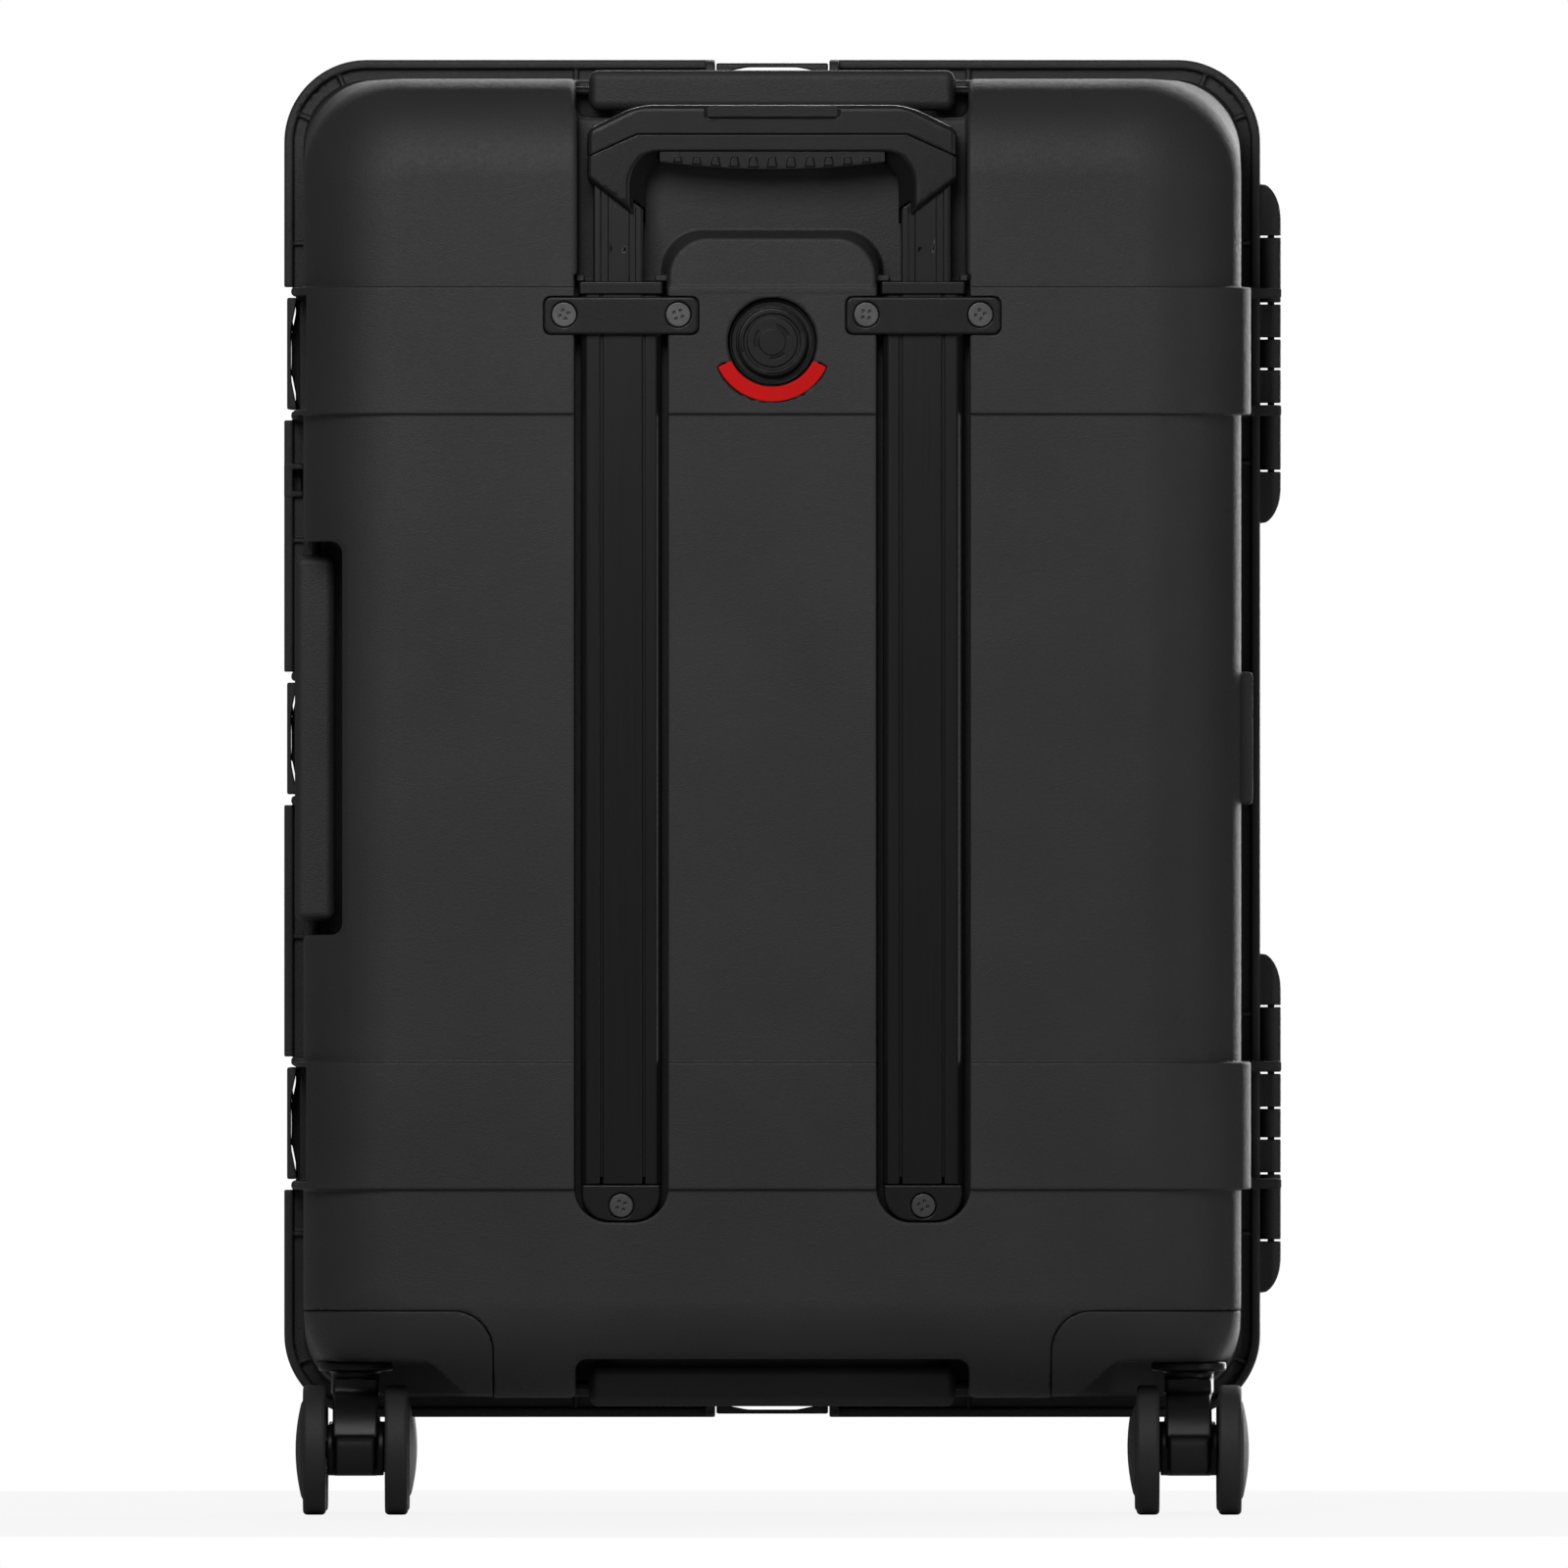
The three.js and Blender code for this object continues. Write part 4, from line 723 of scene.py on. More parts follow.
def rail_cap(point):
    x, y, z = point
    u = x - RAIL_X
    flat = both(abs(u) - CAP["half"], CAP["z"][0] - z, CAP["radius"])
    flat = both(flat, z - CAP["z"][1], 0.8)
    body = both(flat, slab(y, *CAP["y"]), 1.2)
    away = length(u, z - CAP_SCREW["z"])
    body = cut(body, both(away - 6.6, y + 154.6), 0.5)
    return cut(body, away - 2.8)


def screw(radius, shank, spin):
    """A flat head with four small key holes, about its own axis; its face is at y = 0."""
    holes = [(2.3 * math.cos(spin + a), 2.3 * math.sin(spin + a)) for a in np.radians([0, 90, 180, 270])]

    def shape(point):
        x, y, z = point
        away = length(x, z)
        head = both(away - radius, slab(y, 0, 2), 0.5)
        for a, b in holes:
            head = cut(head, both(length(x - a, z - b) - 0.75, y - 1), 0.2)
        stem = both(away - 2.5, slab(y, 1.5, 2 + shank), 0.4)
        return either(head, stem, 0.3)

    return shape


def grip_outline(point):
    """The whole grip from the rear: a bar with two slanted legs."""
    x, _, z = point
    ax = abs(x)
    body = both(ax - 94, z - 716.75, 2)
    body = both(body, ((ax - 68.5) * 12.5 + (z - 716.75) * 25.5) / math.hypot(12.5, 25.5), 3.5)
    body = both(body, (leg_foot(x) - z) * 28 / math.hypot(21.5, 28), 2.5)
    body = both(body, 656.5 - z, 0.8)
    return cut(body, both(ax - 64.25, z - 687.75, 12), 0.5)


def grip_seam(point):
    """Positive above the line where the grip's cover meets its frame."""
    x, _, z = point
    drop = np.maximum(abs(x) - 68.5, 0) * (702 - 690.5) / (94 - 68.5)
    return (z - 702 + drop) * 0.95


def grip_bar(point, edge):
    return both(grip_outline(point), slab(point[1], *GRIP_Y), edge)


def grip_cover(point):
    x, y, z = point
    body = both(grip_bar(point, 3.2), 0.15 - grip_seam(point), 0.5)
    plate = rounded(x, z - 713.05, 34, 3.3, 2.6)
    groove = both(abs(plate) - 0.35, y - GRIP_Y[0] - 0.5)
    raised = both(both(plate, slab(y, -158.5, -150), 0.4), z - 716.4, 0.3)
    return np.minimum(cut(body, groove, 0.25), both(raised, plate + 0.4))


def grip_frame(point):
    x, y, z = point
    body = both(grip_bar(point, 2.6), 0.15 + grip_seam(point), 0.5)
    socket = both(tube_section((abs(x), y, z), TUBE_X, (13, 5), 1.3), z - leg_foot(x) - 8)
    slot = both(both(abs(x) - 57.9, z - 696.65, 1), slab(y, -156.4, -136.6))
    slot = either(slot, both(both(abs(x) - 57.9, z - 699.6, 1), slab(y, -154.6, -136.6)))
    opening = both(abs(x) - 64.25, z - 687.75, 12)
    bevel = (opening - 8.8 + 0.8 * (y - GRIP_Y[0])) / math.hypot(1, 0.8)
    body = cut(body, both(bevel, z - 693.6, 3), 1)
    chamfer = (3 + leg_foot(x) - z - 0.8 * (y - GRIP_Y[0])) / math.hypot(1.26, 0.8)
    body = both(body, chamfer, 0.6)
    return cut(cut(body, socket, 0.4), slot, 0.3)


def release_bar(point):
    """The squeeze bar: a bowed lower edge and eleven small ribs that narrow upwards.

    It slides up behind the grip's front lip.
    """
    x, y, z = point
    bow = 683.75 + 3.9 * (x / 57.5) ** 2
    body = both(both(abs(x) - 57.4, z - 693.4, 0.6), slab(y, -156.2, -137), 0.5)
    body = both(body, bow - z, 0.8)
    tongue = both(both(abs(x) - 57, slab(y, -154, -137)), slab(z, 690, 696.4), 0.5)
    body = either(body, tongue)
    pitch = 9.6
    u = x - pitch * np.round(np.clip(x / pitch, -5, 5))
    rib = both(abs(u) - 2.7 + 0.18 * (z - 684), slab(z, 685.2, 690.4), 0.5)
    rib = both(rib, bow + 1.2 - z, 0.4)
    return either(body, both(rib, slab(y, -157.2, -155), 0.5), 0.4)


# ---------------------------------------------------------------------------------------
# Pressure valve
# ---------------------------------------------------------------------------------------


def spans(angle, ranges):
    """Negative between any of some pairs of angles, in degrees anticlockwise from +X."""
    shape = FAR
    for first, last in ranges:
        middle, half = math.radians((first + last) / 2), math.radians((last - first) / 2)
        turned = abs((angle - middle + np.pi) % (2 * np.pi) - np.pi)
        shape = either(shape, turned - half)
    return shape


VALVE_ARCS = ((19, 76), (140, 198), (261, 317))


def valve_body(point):
    x, y, z = point
    away = length(x, z - VALVE_Z)
    disc = both(away - 22.1, slab(y, -155.5, -152.8), 0.8)
    disc = cut(disc, both(slab(away, 18.4, 20.6), y + 155), 0.4)
    return either(disc, both(away - 10, slab(y, -154.5, -145), 0.5))


def valve_cap(point):
    """A turned cap: a rolled lip, a dished face and a button, with arcs raised and sunk."""
    x, y, z = point
    away = length(x, z - VALVE_Z)
    angle = np.arctan2(z - VALVE_Z, x)
    disc = both(away - VALVE["cap"], slab(y, *VALVE["cap_y"]), 1.2)
    disc = cut(disc, both(slab(away, 12.9, 14.3), y + 160.2), 0.5)
    disc = cut(disc, both(away - 12.8, y + 160.9), 0.6)
    disc = either(disc, both(away - 7, slab(y, -161.5, -156), 0.7))
    sectors = spans(angle, VALVE_ARCS)
    slots = both(abs(away - 8.6) - 0.55, sectors * 8.6, 0.4)
    disc = cut(disc, both(slots, y + 160), 0.2)
    arcs = both(abs(away - 15.4) - 0.6, sectors * 15.4, 0.5)
    return either(disc, both(arcs, slab(y, -161.9, -160), 0.3), 0.3)


def valve_badge(point):
    return both(badge_outline(point), slab(point[1], *BADGE["y"]), 0.5)


# ---------------------------------------------------------------------------------------
# Latches and carry handles, in a side's frame
# ---------------------------------------------------------------------------------------


def latch(point, hooked=True):
    """A lever hinged on the lid, whose plate reaches back over the rear shell's rim.

    Its underside is hollowed between sloping ends; a hook with the same slopes fills the hollow.
    """
    u, y, w = point
    pivot = (LATCH["pivot"][0], LATCH["pivot"][1])
    plate = both(slab(u, 3.6, 8.5), slab(y, LATCH["tip"], 32), 1.6)
    lip = both(slab(u, 3.6, 8.9), slab(y, LATCH["tip"], LATCH["tip"] + 3.4), 1.3)
    plate = either(plate, lip, 1)
    grip = both(slab(u, 8, 8.9), abs((y + 4) % 4 - 2) - 0.7, 0.4)
    ribbed = both(both(grip, slab(y, -6, 6)), abs(w) - 20, 0.5)
    plate = either(plate, ribbed, 0.4)
    web = both(slab(u, 1, 3.8), slab(y, 27.8, 32))
    slopes = (u - 4.2 - 0.2 * (27.7 - abs(w))) / math.hypot(1, 0.2)
    plate = cut(plate, both(slopes, u - 7.2, 0.3), 0.3)
    shape = either(either(plate, web), length(u - pivot[0], y - pivot[1]) - 2.9, 1)
    if hooked:
        hook = both(both(slopes + 0.9, u - 6.9), both(slab(y, 12, 34), -2 - u), 0.3)
        shape = either(shape, hook)
    shape = both(shape, abs(w) - LATCH["half"], 1.2)
    return cut(shape, length(u - pivot[0], y - pivot[1]) - 1.8, 0.3)


def carry_handle(point):
    """A swing handle: a hollow-backed grip bar on two arms, each bored for the rod."""
    u, y, w = point
    far, near = HANDLE["far"], HANDLE["near"]
    section = both(slab(u, HANDLE["back"], HANDLE["front"]), slab(y, far, near), 5)
    bar = both(section, abs(w) - HANDLE["half"], 4)
    arms = both(slab(abs(w), HANDLE["arm"], HANDLE["half"]), slab(u, -11.5, -0.5), 1.2)
    arms = both(arms, slab(y, near - 5, HANDLE["pivot"][1]))
    knuckle = length(u - HANDLE["pivot"][0], y - HANDLE["pivot"][1]) - 5.5
    eyes = both(knuckle, slab(abs(w), HANDLE["arm"], HANDLE["half"]), 1)
    shape = either(either(bar, arms, 3), eyes, 0.5)
    grooves = both(abs(abs(y + 95) - 7) - 0.5, abs(w) - 70, 0.4)
    shape = cut(shape, both(grooves, 5.0 - u), 0.3)
    return cut(shape, length(u - HANDLE["pivot"][0], y - HANDLE["pivot"][1]) - 2.8, 0.3)


def rod(radius, half):
    return lambda p: both(length(p[0], p[1]) - radius, abs(p[2]) - half, 0.5)


# ---------------------------------------------------------------------------------------
# Casters, each about its own swivel axis
# ---------------------------------------------------------------------------------------


def caster_housing(half):
    """The moulded corner that a caster turns in, right-handed."""
    y_axis = CASTER["rear_y"] if half is REAR else CASTER["lid_y"]
    radius = 60 if half is REAR else 59

    def shape(point):
        x, y, z = point
        form = both(tub(point, half), housing_blocks(point, half), 0.9)
        form = both(both(form, slab(z, *HOUSING["z"])), -x)
        form = both(form, HOUSING["z"][0] - z, 3)
        away = length(x - CASTER["x"], y - y_axis)
        form = cut(form, both(away - radius, z - 78, 2), 2.5)
        return cut(form, both(away - 4.3, z - 84.3))

    return shape


def caster_fork(point):
    """The swivelling fork: king pin, flange, stem and a body between the wheels."""
    x, y, z = point
    ax, az = y + CASTER["trail"], z - CASTER["axle_z"]
    reach = length(ax, az)
    fender = both(reach - 28, 25 - z - 0.35 * y)
    neck = both(slab(y, -12.5, 12.5), slab(z, 33, 69))
    body = either(fender, both(neck, 24 - z + 0.66 * (y + 6), 2), 4)
    body = both(body, 26.5 + 0.6 * (y + CASTER["trail"]) - z, 3)
    body = either(body, reach - 13, 3)
    body = both(body, abs(x) - 11.5, 1.6)
    shin = both(reach - 26, both(y + 22, z - 44))
    shin = both(both(shin, 20.6 - z + 0.01 * (y + 40) ** 2, 2), abs(x) - 10, 1.6)
    shape = either(body, shin, 1.5)
    hub = both(reach - 13, abs(x) - 14.5, 0.8)
    away = length(x, y)
    stem = both(away - 12.5, slab(z, 62, 75), 0.5)
    flange = both(away - 19, slab(z, 73, 77.7), 1.2)
    pin = both(away - 4, slab(z, 74, 84), 0.5)
    shape = either(either(shape, hub, 0.6), either(either(stem, flange, 1.5), pin, 0.5), 1.5)
    return either(shape, both(reach - 4, abs(x) - 28.8, 0.5))


def wheel(point):
    """The right wheel of a pair, about its own centre: tread, ringed side and hub cap."""
    x, y, z = point
    away = length(y, z)
    tyre = both(away - CASTER["wheel"], slab(x, 15, 26.7), 2.2)
    tyre = cut(tyre, both(abs(away - 26.2) - 0.5, 26.2 - x), 0.4)
    dome = both(away - 25, x - 30.5 + (away / 25) ** 2 * 3.2, 1.5)
    hub = both(dome, 20 - x)
    shape = either(tyre, hub, 0.8)
    shape = cut(shape, both(away - 25, x - 16.2), 0.8)
    boss = both(away - 8, slab(x, 15, 18))
    shape = either(shape, boss)
    return cut(shape, both(away - 4.3, x - 29.3))


# ---------------------------------------------------------------------------------------
# Materials: every one is made of nodes, with a grain in its colour, gloss and surface
# ---------------------------------------------------------------------------------------


def new_material(name, metallic=0.0, specular=0.5):
    material = bpy.data.materials.new(name)
    material.use_nodes = True
    nodes, links = material.node_tree.nodes, material.node_tree.links
    shader = nodes["Principled BSDF"]
    shader.inputs["Metallic"].default_value = metallic
    shader.inputs["Specular IOR Level"].default_value = specular
    place_node = nodes.new("ShaderNodeTexCoord")
    return material, nodes, links, shader, place_node.outputs["Object"]


def add_noise(nodes, links, coordinates, scale, detail=2.0, stretch=None):
    """A noise pattern in object space; stretch scales the three axes before sampling."""
    if stretch:
        mapping = nodes.new("ShaderNodeMapping")
        mapping.inputs["Scale"].default_value = stretch
        links.new(coordinates, mapping.inputs["Vector"])
        coordinates = mapping.outputs["Vector"]
    noise = nodes.new("ShaderNodeTexNoise")
    noise.inputs["Scale"].default_value = scale
    noise.inputs["Detail"].default_value = detail
    links.new(coordinates, noise.inputs["Vector"])
    return noise.outputs["Fac"]


def add_ramp(nodes, links, factor, first, last, low=0.3, high=0.7):
    ramp = nodes.new("ShaderNodeValToRGB")
    ramp.color_ramp.elements[0].position = low
    ramp.color_ramp.elements[1].position = high
    ramp.color_ramp.elements[0].color = (*first, 1)
    ramp.color_ramp.elements[1].color = (*last, 1)
    links.new(factor, ramp.inputs["Fac"])
    return ramp.outputs["Color"]


def add_range(nodes, links, factor, low, high):
    span = nodes.new("ShaderNodeMapRange")
    span.inputs["To Min"].default_value = low
    span.inputs["To Max"].default_value = high
    links.new(factor, span.inputs["Value"])
    return span.outputs["Result"]


def add_bump(nodes, links, height, distance, strength):
    bump = nodes.new("ShaderNodeBump")
    bump.inputs["Distance"].default_value = distance
    bump.inputs["Strength"].default_value = strength
    links.new(height, bump.inputs["Height"])
    return bump.outputs["Normal"]


def plastic(name, dark, light, rough, grain, depth, specular=0.5):
    """Moulded plastic: a fine leathery grain, cloudy gloss and faint uneven colour."""
    material, nodes, links, shader, place_at = new_material(name, specular=specular)
    fine = add_noise(nodes, links, place_at, grain, 3)
    broad = add_noise(nodes, links, place_at, 14, 4)
    speckle = add_noise(nodes, links, place_at, grain * 0.35, 1)
    links.new(add_ramp(nodes, links, broad, dark, light), shader.inputs["Base Color"])
    links.new(add_range(nodes, links, speckle, *rough), shader.inputs["Roughness"])
    links.new(add_bump(nodes, links, fine, depth, 0.55), shader.inputs["Normal"])
    return material


def anodised(name, dark, light, rough):
    """Black anodised extrusion: fine drawing lines along its length."""
    material, nodes, links, shader, place_at = new_material(name, metallic=0.35, specular=0.6)
    drawn = add_noise(nodes, links, place_at, 900, 2, stretch=(1, 1, 0.012))
    broad = add_noise(nodes, links, place_at, 9, 3)
    links.new(add_ramp(nodes, links, broad, dark, light), shader.inputs["Base Color"])
    links.new(add_range(nodes, links, drawn, *rough), shader.inputs["Roughness"])
    links.new(add_bump(nodes, links, drawn, 0.00006, 0.25), shader.inputs["Normal"])
    return material


def steel(name, dark, light, rough, metallic=0.85, specular=0.5):
    """Coated steel with a slightly pitted face."""
    material, nodes, links, shader, place_at = new_material(name, metallic, specular)
    pits = add_noise(nodes, links, place_at, 1800, 3)
    broad = add_noise(nodes, links, place_at, 60, 2)
    links.new(add_ramp(nodes, links, broad, dark, light), shader.inputs["Base Color"])
    links.new(add_range(nodes, links, pits, *rough), shader.inputs["Roughness"])
    links.new(add_bump(nodes, links, pits, 0.00012, 0.5), shader.inputs["Normal"])
    return material


def grey(value, blue=0.0):
    return value, value, value + blue


LOOKS = {  # how it is made, dark and light colour, least and greatest roughness, and the rest
    "shell_plastic": (plastic, grey(0.019, 0.0005), grey(0.026, 0.0005), (0.5, 0.68), 1300, 0.0005),
    "trim_plastic": (plastic, grey(0.008, 0.0003), grey(0.012, 0.0004), (0.3, 0.42), 2200, 0.00015, 0.3),
    "rail_aluminium": (anodised, grey(0.006, 0.0003), grey(0.009, 0.0004), (0.3, 0.38)),
    "steel": (steel, grey(0.09, 0.003), grey(0.13, 0.003), (0.35, 0.6)),
    "black_steel": (steel, grey(0.005), grey(0.008), (0.35, 0.6), 0.0, 0.2),
    "badge_plastic": (
        plastic, (0.66, 0.002, 0.002), (0.76, 0.003, 0.003), (0.4, 0.55), 2600, 0.0001, 0.15,
    ),
    "seal_rubber": (plastic, grey(0.01), grey(0.016), (0.7, 0.85), 1800, 0.0002, 0.3),
    "tyre_rubber": (plastic, grey(0.02, 0.001), grey(0.028, 0.001), (0.55, 0.72), 1700, 0.0002, 0.4),
}
MATERIALS = {name: make(name, *values) for name, (make, *values) in LOOKS.items()}

# ---------------------------------------------------------------------------------------
# Placing the pieces
# ---------------------------------------------------------------------------------------

MOST = 190000  # triangles in a shell


def span_lines(low, high, edges, fine=0.5, coarse=9.0, growth=0.5):
    return lines(low - 1.3, high + 1.3, coarse, edges, fine, growth)


for name, shape, half, body in (
    ("rear_shell", rear_shell, REAR, "case"),
    ("lid_shell", lid_shell, LID, "lid"),
):
    place(name, solid(shape, *shell_lines(half), most=MOST), body, "shell_plastic")


def seal(point):
    x, y, z = point
    outline = rounded(x, z - CENTRE_Z, RIM["half_width"], RIM["half_height"], RIM["radius"])
    ring = slab(outline, -12, -8.8)
    body = both(ring, slab(y, 0, 3), 0.8)
    return cut(body, both(abs(outline + 10.4) - 0.5, 0.7 - y), 0.2)


seal_grid = (
    lines(-241, 241, 9, mirrored(236.5, 240)),
    lines(-0.4, 3.4, 0.4),
    lines(57, 733, 9, (58, 62, 728, 732)),
)
place("lid_seal", solid(seal, *seal_grid), "lid", "seal_rubber")

PIN_GRID = (lines(-2.6, 2.6, 0.45), lines(-2.6, 2.6, 0.45))
hinge_pin = solid(rod(HINGE["pin"], sum(KNUCKLES) / 2 - 6.5), *PIN_GRID, span_lines(-81, 81, (-81, 81)))
for name, sign in (("upper", 1), ("lower", -1)):
    shift = (HINGE["x"], 0, CENTRE_Z + sign * HINGE["offset"])
    place(f"hinge_pin_{name}", hinge_pin, "case", "steel", shift=shift, finish="black_steel")


def about(middle, *offsets):
    return [middle + offset for offset in offsets]


rail_xs = span_lines(
    RAIL_X - 21.7, RAIL_X + 21.7,
    about(RAIL_X, -20.5, -17.6, -12.4, -11, -16.7, 9, 10.5, 16.7, 20.5),
)
rail_ys = span_lines(-158, -140.4, (-158, -157.5, -156, -142, -140.4, -155.9, -142.6))
EXTRUSIONS = {
    "rail": (rail, "case", "rail_aluminium", rail_xs, rail_ys, span_lines(168.5, 627, (168.5, 620.4, 627))),
    "mid_tube": (
        mid_tube, "middle_stage", "rail_aluminium",
        rail_xs, rail_ys, span_lines(172, 622, (172, 622)),
    ),
    "inner_tube": (
        inner_tube, "grip_stage", "rail_aluminium",
        span_lines(65.5, 91, about(TUBE_X, -12.7, -8.6, -5.6, 5.2, 9, 12.7)),
        span_lines(-154, -144.5, (-154, -152.5, -146, -144.5)),
        span_lines(176, 683, (176, 638, 662, 683)),
    ),
    "rail_clamp": (
        clamp, "case", "trim_plastic",
        span_lines(RAIL_X - 39.3, RAIL_X + 39.3, about(RAIL_X, *mirrored(39, 36, 22.5, 29, 35.5))),
        span_lines(-162, -158, (-162, -159.6, -158)),
        span_lines(600, 619.5, (600, 604, 610, 616, 619)),
    ),
    "rail_cap": (
        rail_cap, "case", "trim_plastic",
        span_lines(RAIL_X - 20, RAIL_X + 20, about(RAIL_X, *mirrored(20, 6, 12))),
        span_lines(-157, -140.4, (-157, -154.6, -140.4)),
        span_lines(149, 168.3, (149, 152, 157, 163, 168)),
    ),
}
for name, (shape, body, look, *grid) in EXTRUSIONS.items():
    made = solid(shape, *grid)
    for hand in ("left", "right"):
        place(f"{name}_{hand}", made, body, look, mirror=hand == "left")

# each screw's dimensions, its place across and how far its head is turned, in radians
SCREWS = {
    "clamp_screw_left_outer": (CLAMP_SCREW, -RAIL_X - CLAMP_SCREW["offset"], 0.3),
    "clamp_screw_left_inner": (CLAMP_SCREW, -RAIL_X + CLAMP_SCREW["offset"], 1.1),
    "clamp_screw_right_inner": (CLAMP_SCREW, RAIL_X - CLAMP_SCREW["offset"], 0.7),
    "clamp_screw_right_outer": (CLAMP_SCREW, RAIL_X + CLAMP_SCREW["offset"], 0.15),
    "cap_screw_left": (CAP_SCREW, -RAIL_X, 0.5),
    "cap_screw_right": (CAP_SCREW, RAIL_X, 1.3),
}
for name, (size, x, spin) in SCREWS.items():
    edge = round(size["radius"] + 0.76, 1)
    screw_xs = lines(-edge, edge, 0.35)
    screw_ys = lines(-0.4, size["shank"] + 2.6, 0.5, (0, 2))
    made = solid(screw(size["radius"], size["shank"], spin), screw_xs, screw_ys, screw_xs)
    place(name, made, "case", "steel", shift=(x, size["face"], size["z"]))

GRIP_GRID = (
    span_lines(-94, 94, mirrored(94, 88, 66, 64, 58, 57, 34, 70, 78, 91), fine=0.6),
    span_lines(-158.5, -134, (-158.5, -157.5, -134, -136.6, -155, -137.5), fine=0.5),
    span_lines(656.5, 716.8, (657, 660, 664, 681, 684, 688, 693, 697, 702, 709, 714, 716), fine=0.5),
)
bar_grid = (
    span_lines(-57.5, 57.5, [9.6 * i for i in range(-6, 7)], fine=0.5, coarse=1.2),
    span_lines(-157.2, -137, (-157.2, -156.2, -154, -137)),
    lines(683, 697.2, 0.5),
)
body_disc, cap_disc, badge_disc = lines(-24, 24, 0.55), lines(-18.5, 18.5, 0.32), lines(-32, 32, 0.4)
body_ys = span_lines(-155.5, -145, (-155.5, -152.8))
badge_zs = lines(-32 + VALVE_Z, VALVE_Z - 8, 0.4)
REAR_FITTINGS = {
    "grip_cover": (grip_cover, "grip_stage", "trim_plastic", *GRIP_GRID),
    "grip_frame": (grip_frame, "grip_stage", "trim_plastic", *GRIP_GRID),
    "release_bar": (release_bar, "release", "trim_plastic", *bar_grid),
    "valve_body": (valve_body, "case", "trim_plastic", body_disc, body_ys, body_disc + VALVE_Z),
    "valve_cap": (
        valve_cap, "case", "trim_plastic",
        cap_disc, lines(-162.5, -155.2, 0.3), cap_disc + VALVE_Z,
    ),
    "valve_badge": (
        valve_badge, "case", "badge_plastic",
        badge_disc, lines(-163.1, -160.7, 0.3), badge_zs,
    ),
}
for name, (shape, body, look, *grid) in REAR_FITTINGS.items():
    place(name, solid(shape, *grid), body, look)

latch_ys = [-13, -9.6] + [2 * i for i in range(-4, 4)] + [28, 32, 36]
latch_grid = (
    span_lines(-3.3, 8.9, (3.6, 7.2, 8.5, -3), fine=0.4, coarse=0.7),
    span_lines(-13, 36.2, latch_ys, fine=0.45, coarse=1.5),
    span_lines(-28.5, 28.5, mirrored(28.5, 20), fine=0.45),
)
latch_made = solid(latch, *latch_grid)
top_latch = solid(lambda p: latch(p, hooked=False), *latch_grid)
latch_pin = solid(rod(1.5, 33.5), *PIN_GRID, span_lines(-33.5, 33.5, (-33.5, 33.5)))
for name, (side, along) in LATCH_PLACES.items():
    turn, shift = side_turn(side), side_shift(side, along)
    made = latch_made if side == "side" else top_latch
    place(f"latch_{name}", made, f"{name}_latch", "shell_plastic", turn, shift)
    middle = shift + turn @ np.array([*LATCH["pivot"], 0])
    place(f"latch_pin_{name}", latch_pin, "lid", "steel", turn, middle, finish="black_steel")

handle_grid = (
    span_lines(-16, 5.5, (-16, 5.5, -11.5, -0.5, -12.5, 1.5)),
    span_lines(-110, -46, (-110, -80, -52, -102, -88, -106, -84)),
    span_lines(-92.5, 92.5, mirrored(92.5, 80, 70, 89)),
)
handle_made = solid(carry_handle, *handle_grid)
rod_line = lines(-3.2, 3.2, 0.5)
handle_rod = solid(rod(2.5, 102.5), rod_line, rod_line, span_lines(-102.5, 102.5, (-102.5, 102.5)))
for side in ("side", "top", "bottom"):
    turn, shift = side_turn(side), side_shift(side)
    place(f"handle_{side}", handle_made, f"{side}_handle", "shell_plastic", turn, shift)
    middle = shift + turn @ np.array([*HANDLE["pivot"], 0])
    place(f"handle_rod_{side}", handle_rod, "case", "steel", turn, middle, finish="black_steel")

fork_grid = (
    span_lines(-28.8, 28.8, mirrored(28.8, 14.5, 11.25, 10.25), fine=0.45, coarse=1.5),
    span_lines(-45, 19.2, (-44, -29, -3, 12.5, 19), fine=0.6, coarse=1.4),
    span_lines(15, 84, (21, 62, 69, 73, 77.7, 84), fine=0.5, coarse=1.4),
)
fork_made = solid(caster_fork, *fork_grid)
wheel_disc = lines(-34, 34, 0.8)
wheel_xs = span_lines(14, 30.5, (15, 26.7, 30.5), fine=0.45, coarse=1)
wheel_made = solid(wheel, wheel_xs, wheel_disc, wheel_disc)
for end, half, body, y in (
    ("rear", REAR, "case", CASTER["rear_y"]),
    ("front", LID, "lid", CASTER["lid_y"]),
):
    near = HOUSING["near"][half["side"]]
    housing_ys = span_lines(near, half["depth"], (near, half["depth"]), 0.5, 2)
    housing_grid = (
        span_lines(142, 238.5, (142, 162), coarse=2),
        np.sort(half["side"] * housing_ys),
        span_lines(59, 103.75, (59, 62, 78, 103.75), coarse=2),
    )
    housing_made = solid(caster_housing(half), *housing_grid)
    for hand, sign in (("left", -1), ("right", 1)):
        name = f"{end}_{hand}"
        axis = (sign * CASTER["x"], y, 0)
        hub = (sign * CASTER["x"], y - CASTER["trail"], CASTER["axle_z"])
        place(f"caster_housing_{name}", housing_made, body, "shell_plastic", mirror=sign < 0)
        place(f"caster_fork_{name}", fork_made, f"{name}_fork", "trim_plastic", shift=axis)
        for side in ("left", "right"):
            spinning, flipped = f"{name}_{side}_wheel", side == "left"
            place(f"wheel_{name}_{side}", wheel_made, spinning, "tyre_rubber", shift=hub, mirror=flipped)

# ---------------------------------------------------------------------------------------
# Stage, light and camera
# ---------------------------------------------------------------------------------------

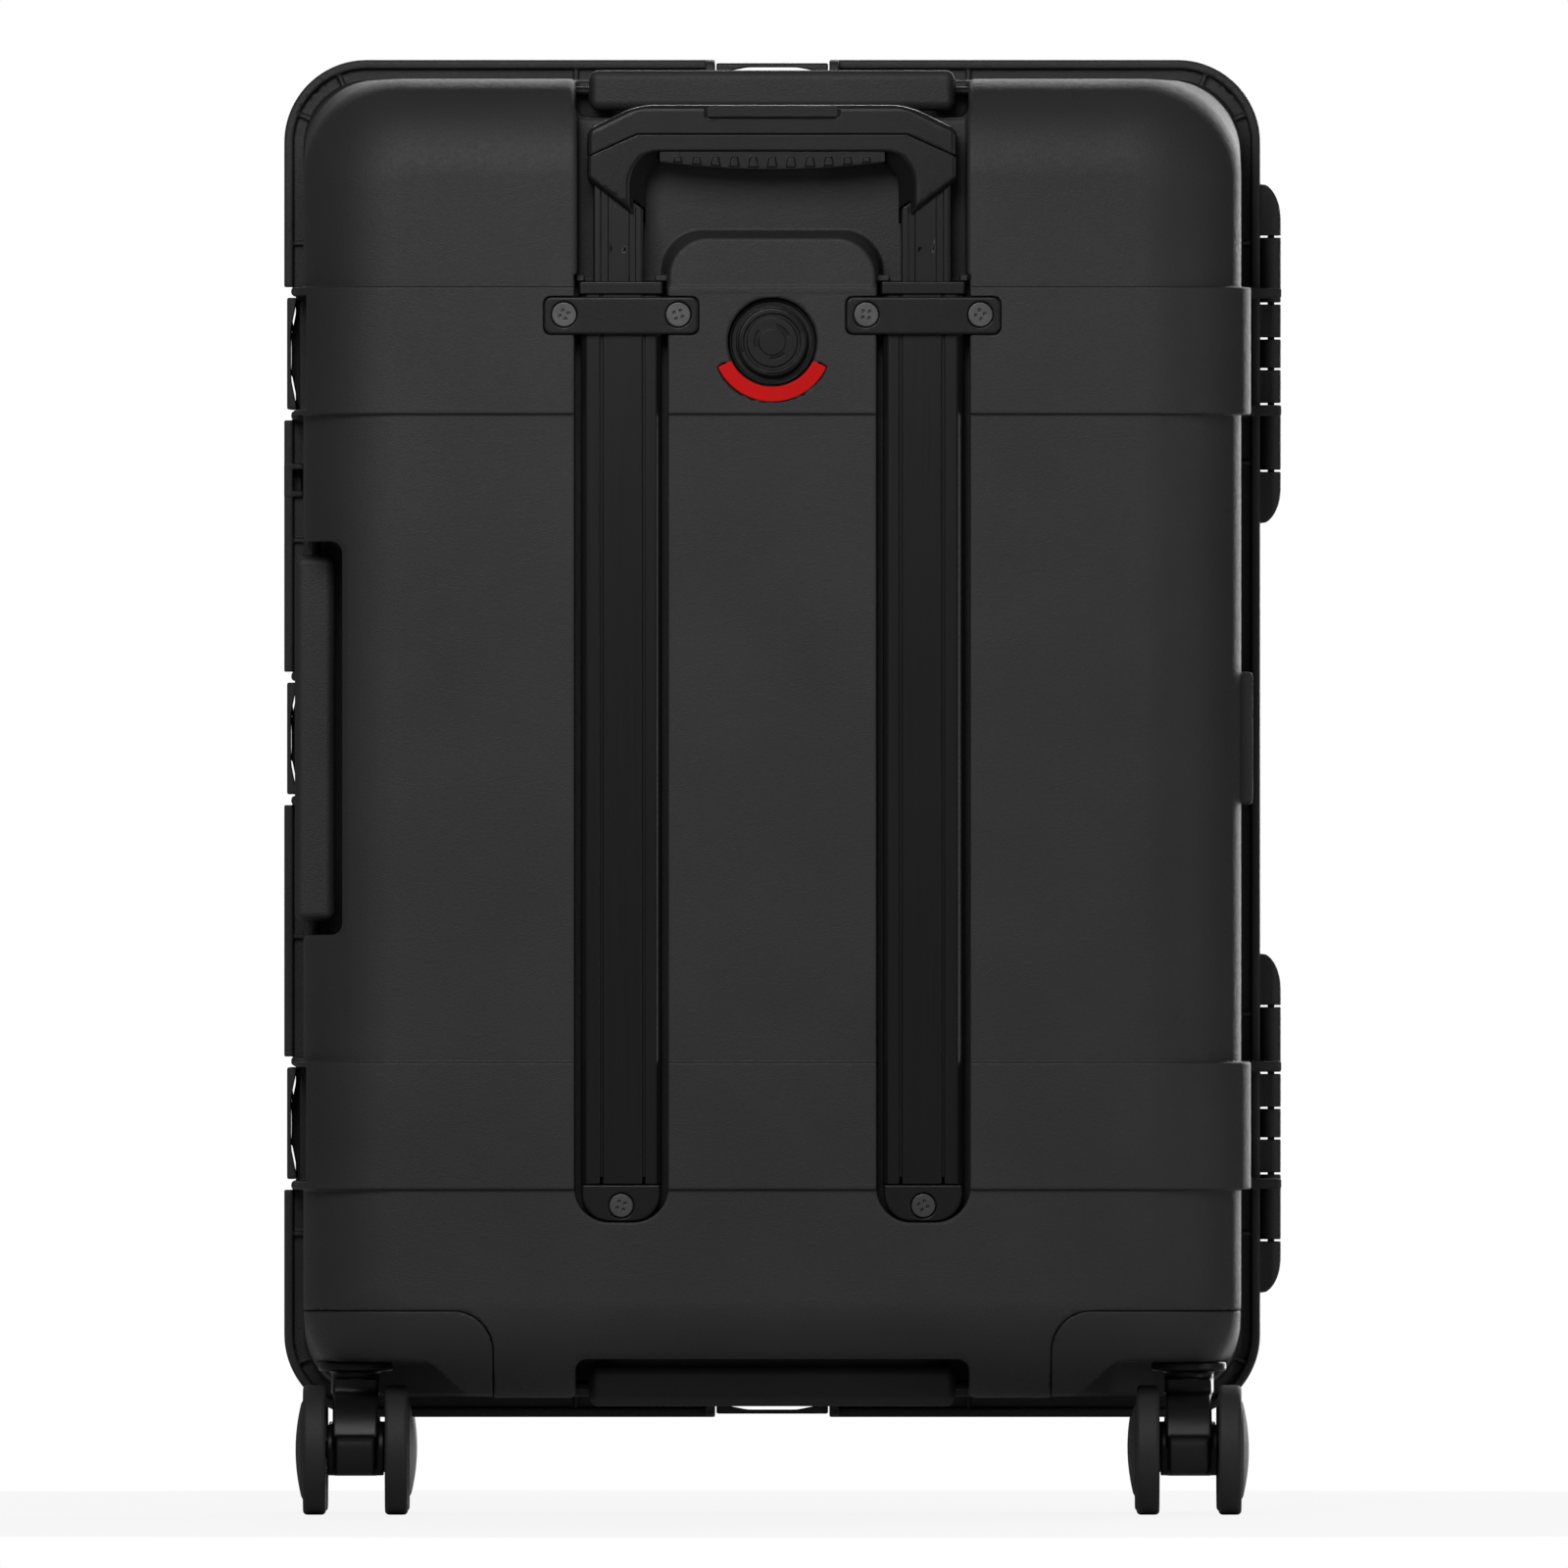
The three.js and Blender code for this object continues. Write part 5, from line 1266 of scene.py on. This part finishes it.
floor_mesh = bpy.data.meshes.new("floor")
angles = [2 * math.pi * i / 96 for i in range(96)]
floor_points = [(1.2 * math.cos(a), 1.2 * math.sin(a), -0.0002) for a in angles]
floor_mesh.from_pydata(floor_points, [], [list(range(96))])
floor = bpy.data.objects.new("floor", floor_mesh)
bpy.context.scene.collection.objects.link(floor)
floor_material, floor_nodes, floor_links, floor_shader, floor_at = new_material("floor")
paper = add_noise(floor_nodes, floor_links, floor_at, 3, 2)
paper_colour = add_ramp(floor_nodes, floor_links, paper, (0.5, 0.5, 0.5), (0.52, 0.52, 0.52))
floor_links.new(paper_colour, floor_shader.inputs["Base Color"])
floor_shader.inputs["Roughness"].default_value = 0.7
floor_glow = floor_nodes.new("ShaderNodeEmission")
floor_path = floor_nodes.new("ShaderNodeLightPath")
floor_share = floor_nodes.new("ShaderNodeMapRange")
floor_share.inputs["To Max"].default_value = 0.88
floor_mix = floor_nodes.new("ShaderNodeMixShader")
floor_links.new(floor_path.outputs["Is Camera Ray"], floor_share.inputs["Value"])
floor_links.new(floor_share.outputs["Result"], floor_mix.inputs["Fac"])
floor_links.new(floor_shader.outputs["BSDF"], floor_mix.inputs[1])
floor_links.new(floor_glow.outputs["Emission"], floor_mix.inputs[2])
floor_links.new(floor_mix.outputs["Shader"], floor_nodes["Material Output"].inputs["Surface"])
floor_mesh.materials.append(floor_material)

world = bpy.data.worlds.new("world")
bpy.context.scene.world = world
world.use_nodes = True
world_nodes, world_links = world.node_tree.nodes, world.node_tree.links
ambient = world_nodes["Background"]
ambient.inputs["Color"].default_value = (1, 1, 1, 1)
ambient.inputs["Strength"].default_value = 0.13
backdrop = world_nodes.new("ShaderNodeBackground")
backdrop.inputs["Color"].default_value = (1, 1, 1, 1)
backdrop.inputs["Strength"].default_value = 1.0
light_path = world_nodes.new("ShaderNodeLightPath")
world_mix = world_nodes.new("ShaderNodeMixShader")
world_links.new(light_path.outputs["Is Camera Ray"], world_mix.inputs["Fac"])
world_links.new(ambient.outputs["Background"], world_mix.inputs[1])
world_links.new(backdrop.outputs["Background"], world_mix.inputs[2])
world_links.new(world_mix.outputs["Shader"], world_nodes["World Output"].inputs["Surface"])


def add_light(name, place_at, target, size, power):
    data = bpy.data.lights.new(name, "AREA")
    data.shape = "RECTANGLE"
    data.size, data.size_y = size
    data.energy = power
    light = bpy.data.objects.new(name, data)
    light.location = place_at
    light.rotation_mode = "QUATERNION"
    light.rotation_quaternion = (Vector(target) - Vector(place_at)).to_track_quat("-Z", "Y")
    bpy.context.scene.collection.objects.link(light)


add_light("key", (-0.35, -1.65, 1.4), (0, 0, 0.45), (0.9, 0.9), 17)
add_light("fill", (2.3, -1.45, 0.5), (0, 0, 0.4), (0.25, 1.6), 7)
add_light("rim", (1.35, 2.8, 0.8), (0, 0, 0.4), (0.4, 2.0), 45)
add_light("top", (0.3, 2.8, 2.1), (0, 0, 0.5), (2.0, 0.4), 34)

camera_data = bpy.data.cameras.new("camera")
camera_data.lens = 1650
camera_data.sensor_width = 36
camera_data.clip_start, camera_data.clip_end = 0.1, 200
camera = bpy.data.objects.new("camera", camera_data)
camera.location = (0.000425, -36.66, 0.37175)
camera.rotation_euler = (math.pi / 2, 0, 0)
bpy.context.scene.collection.objects.link(camera)
bpy.context.scene.camera = camera
bpy.context.scene.view_settings.view_transform = "Standard"
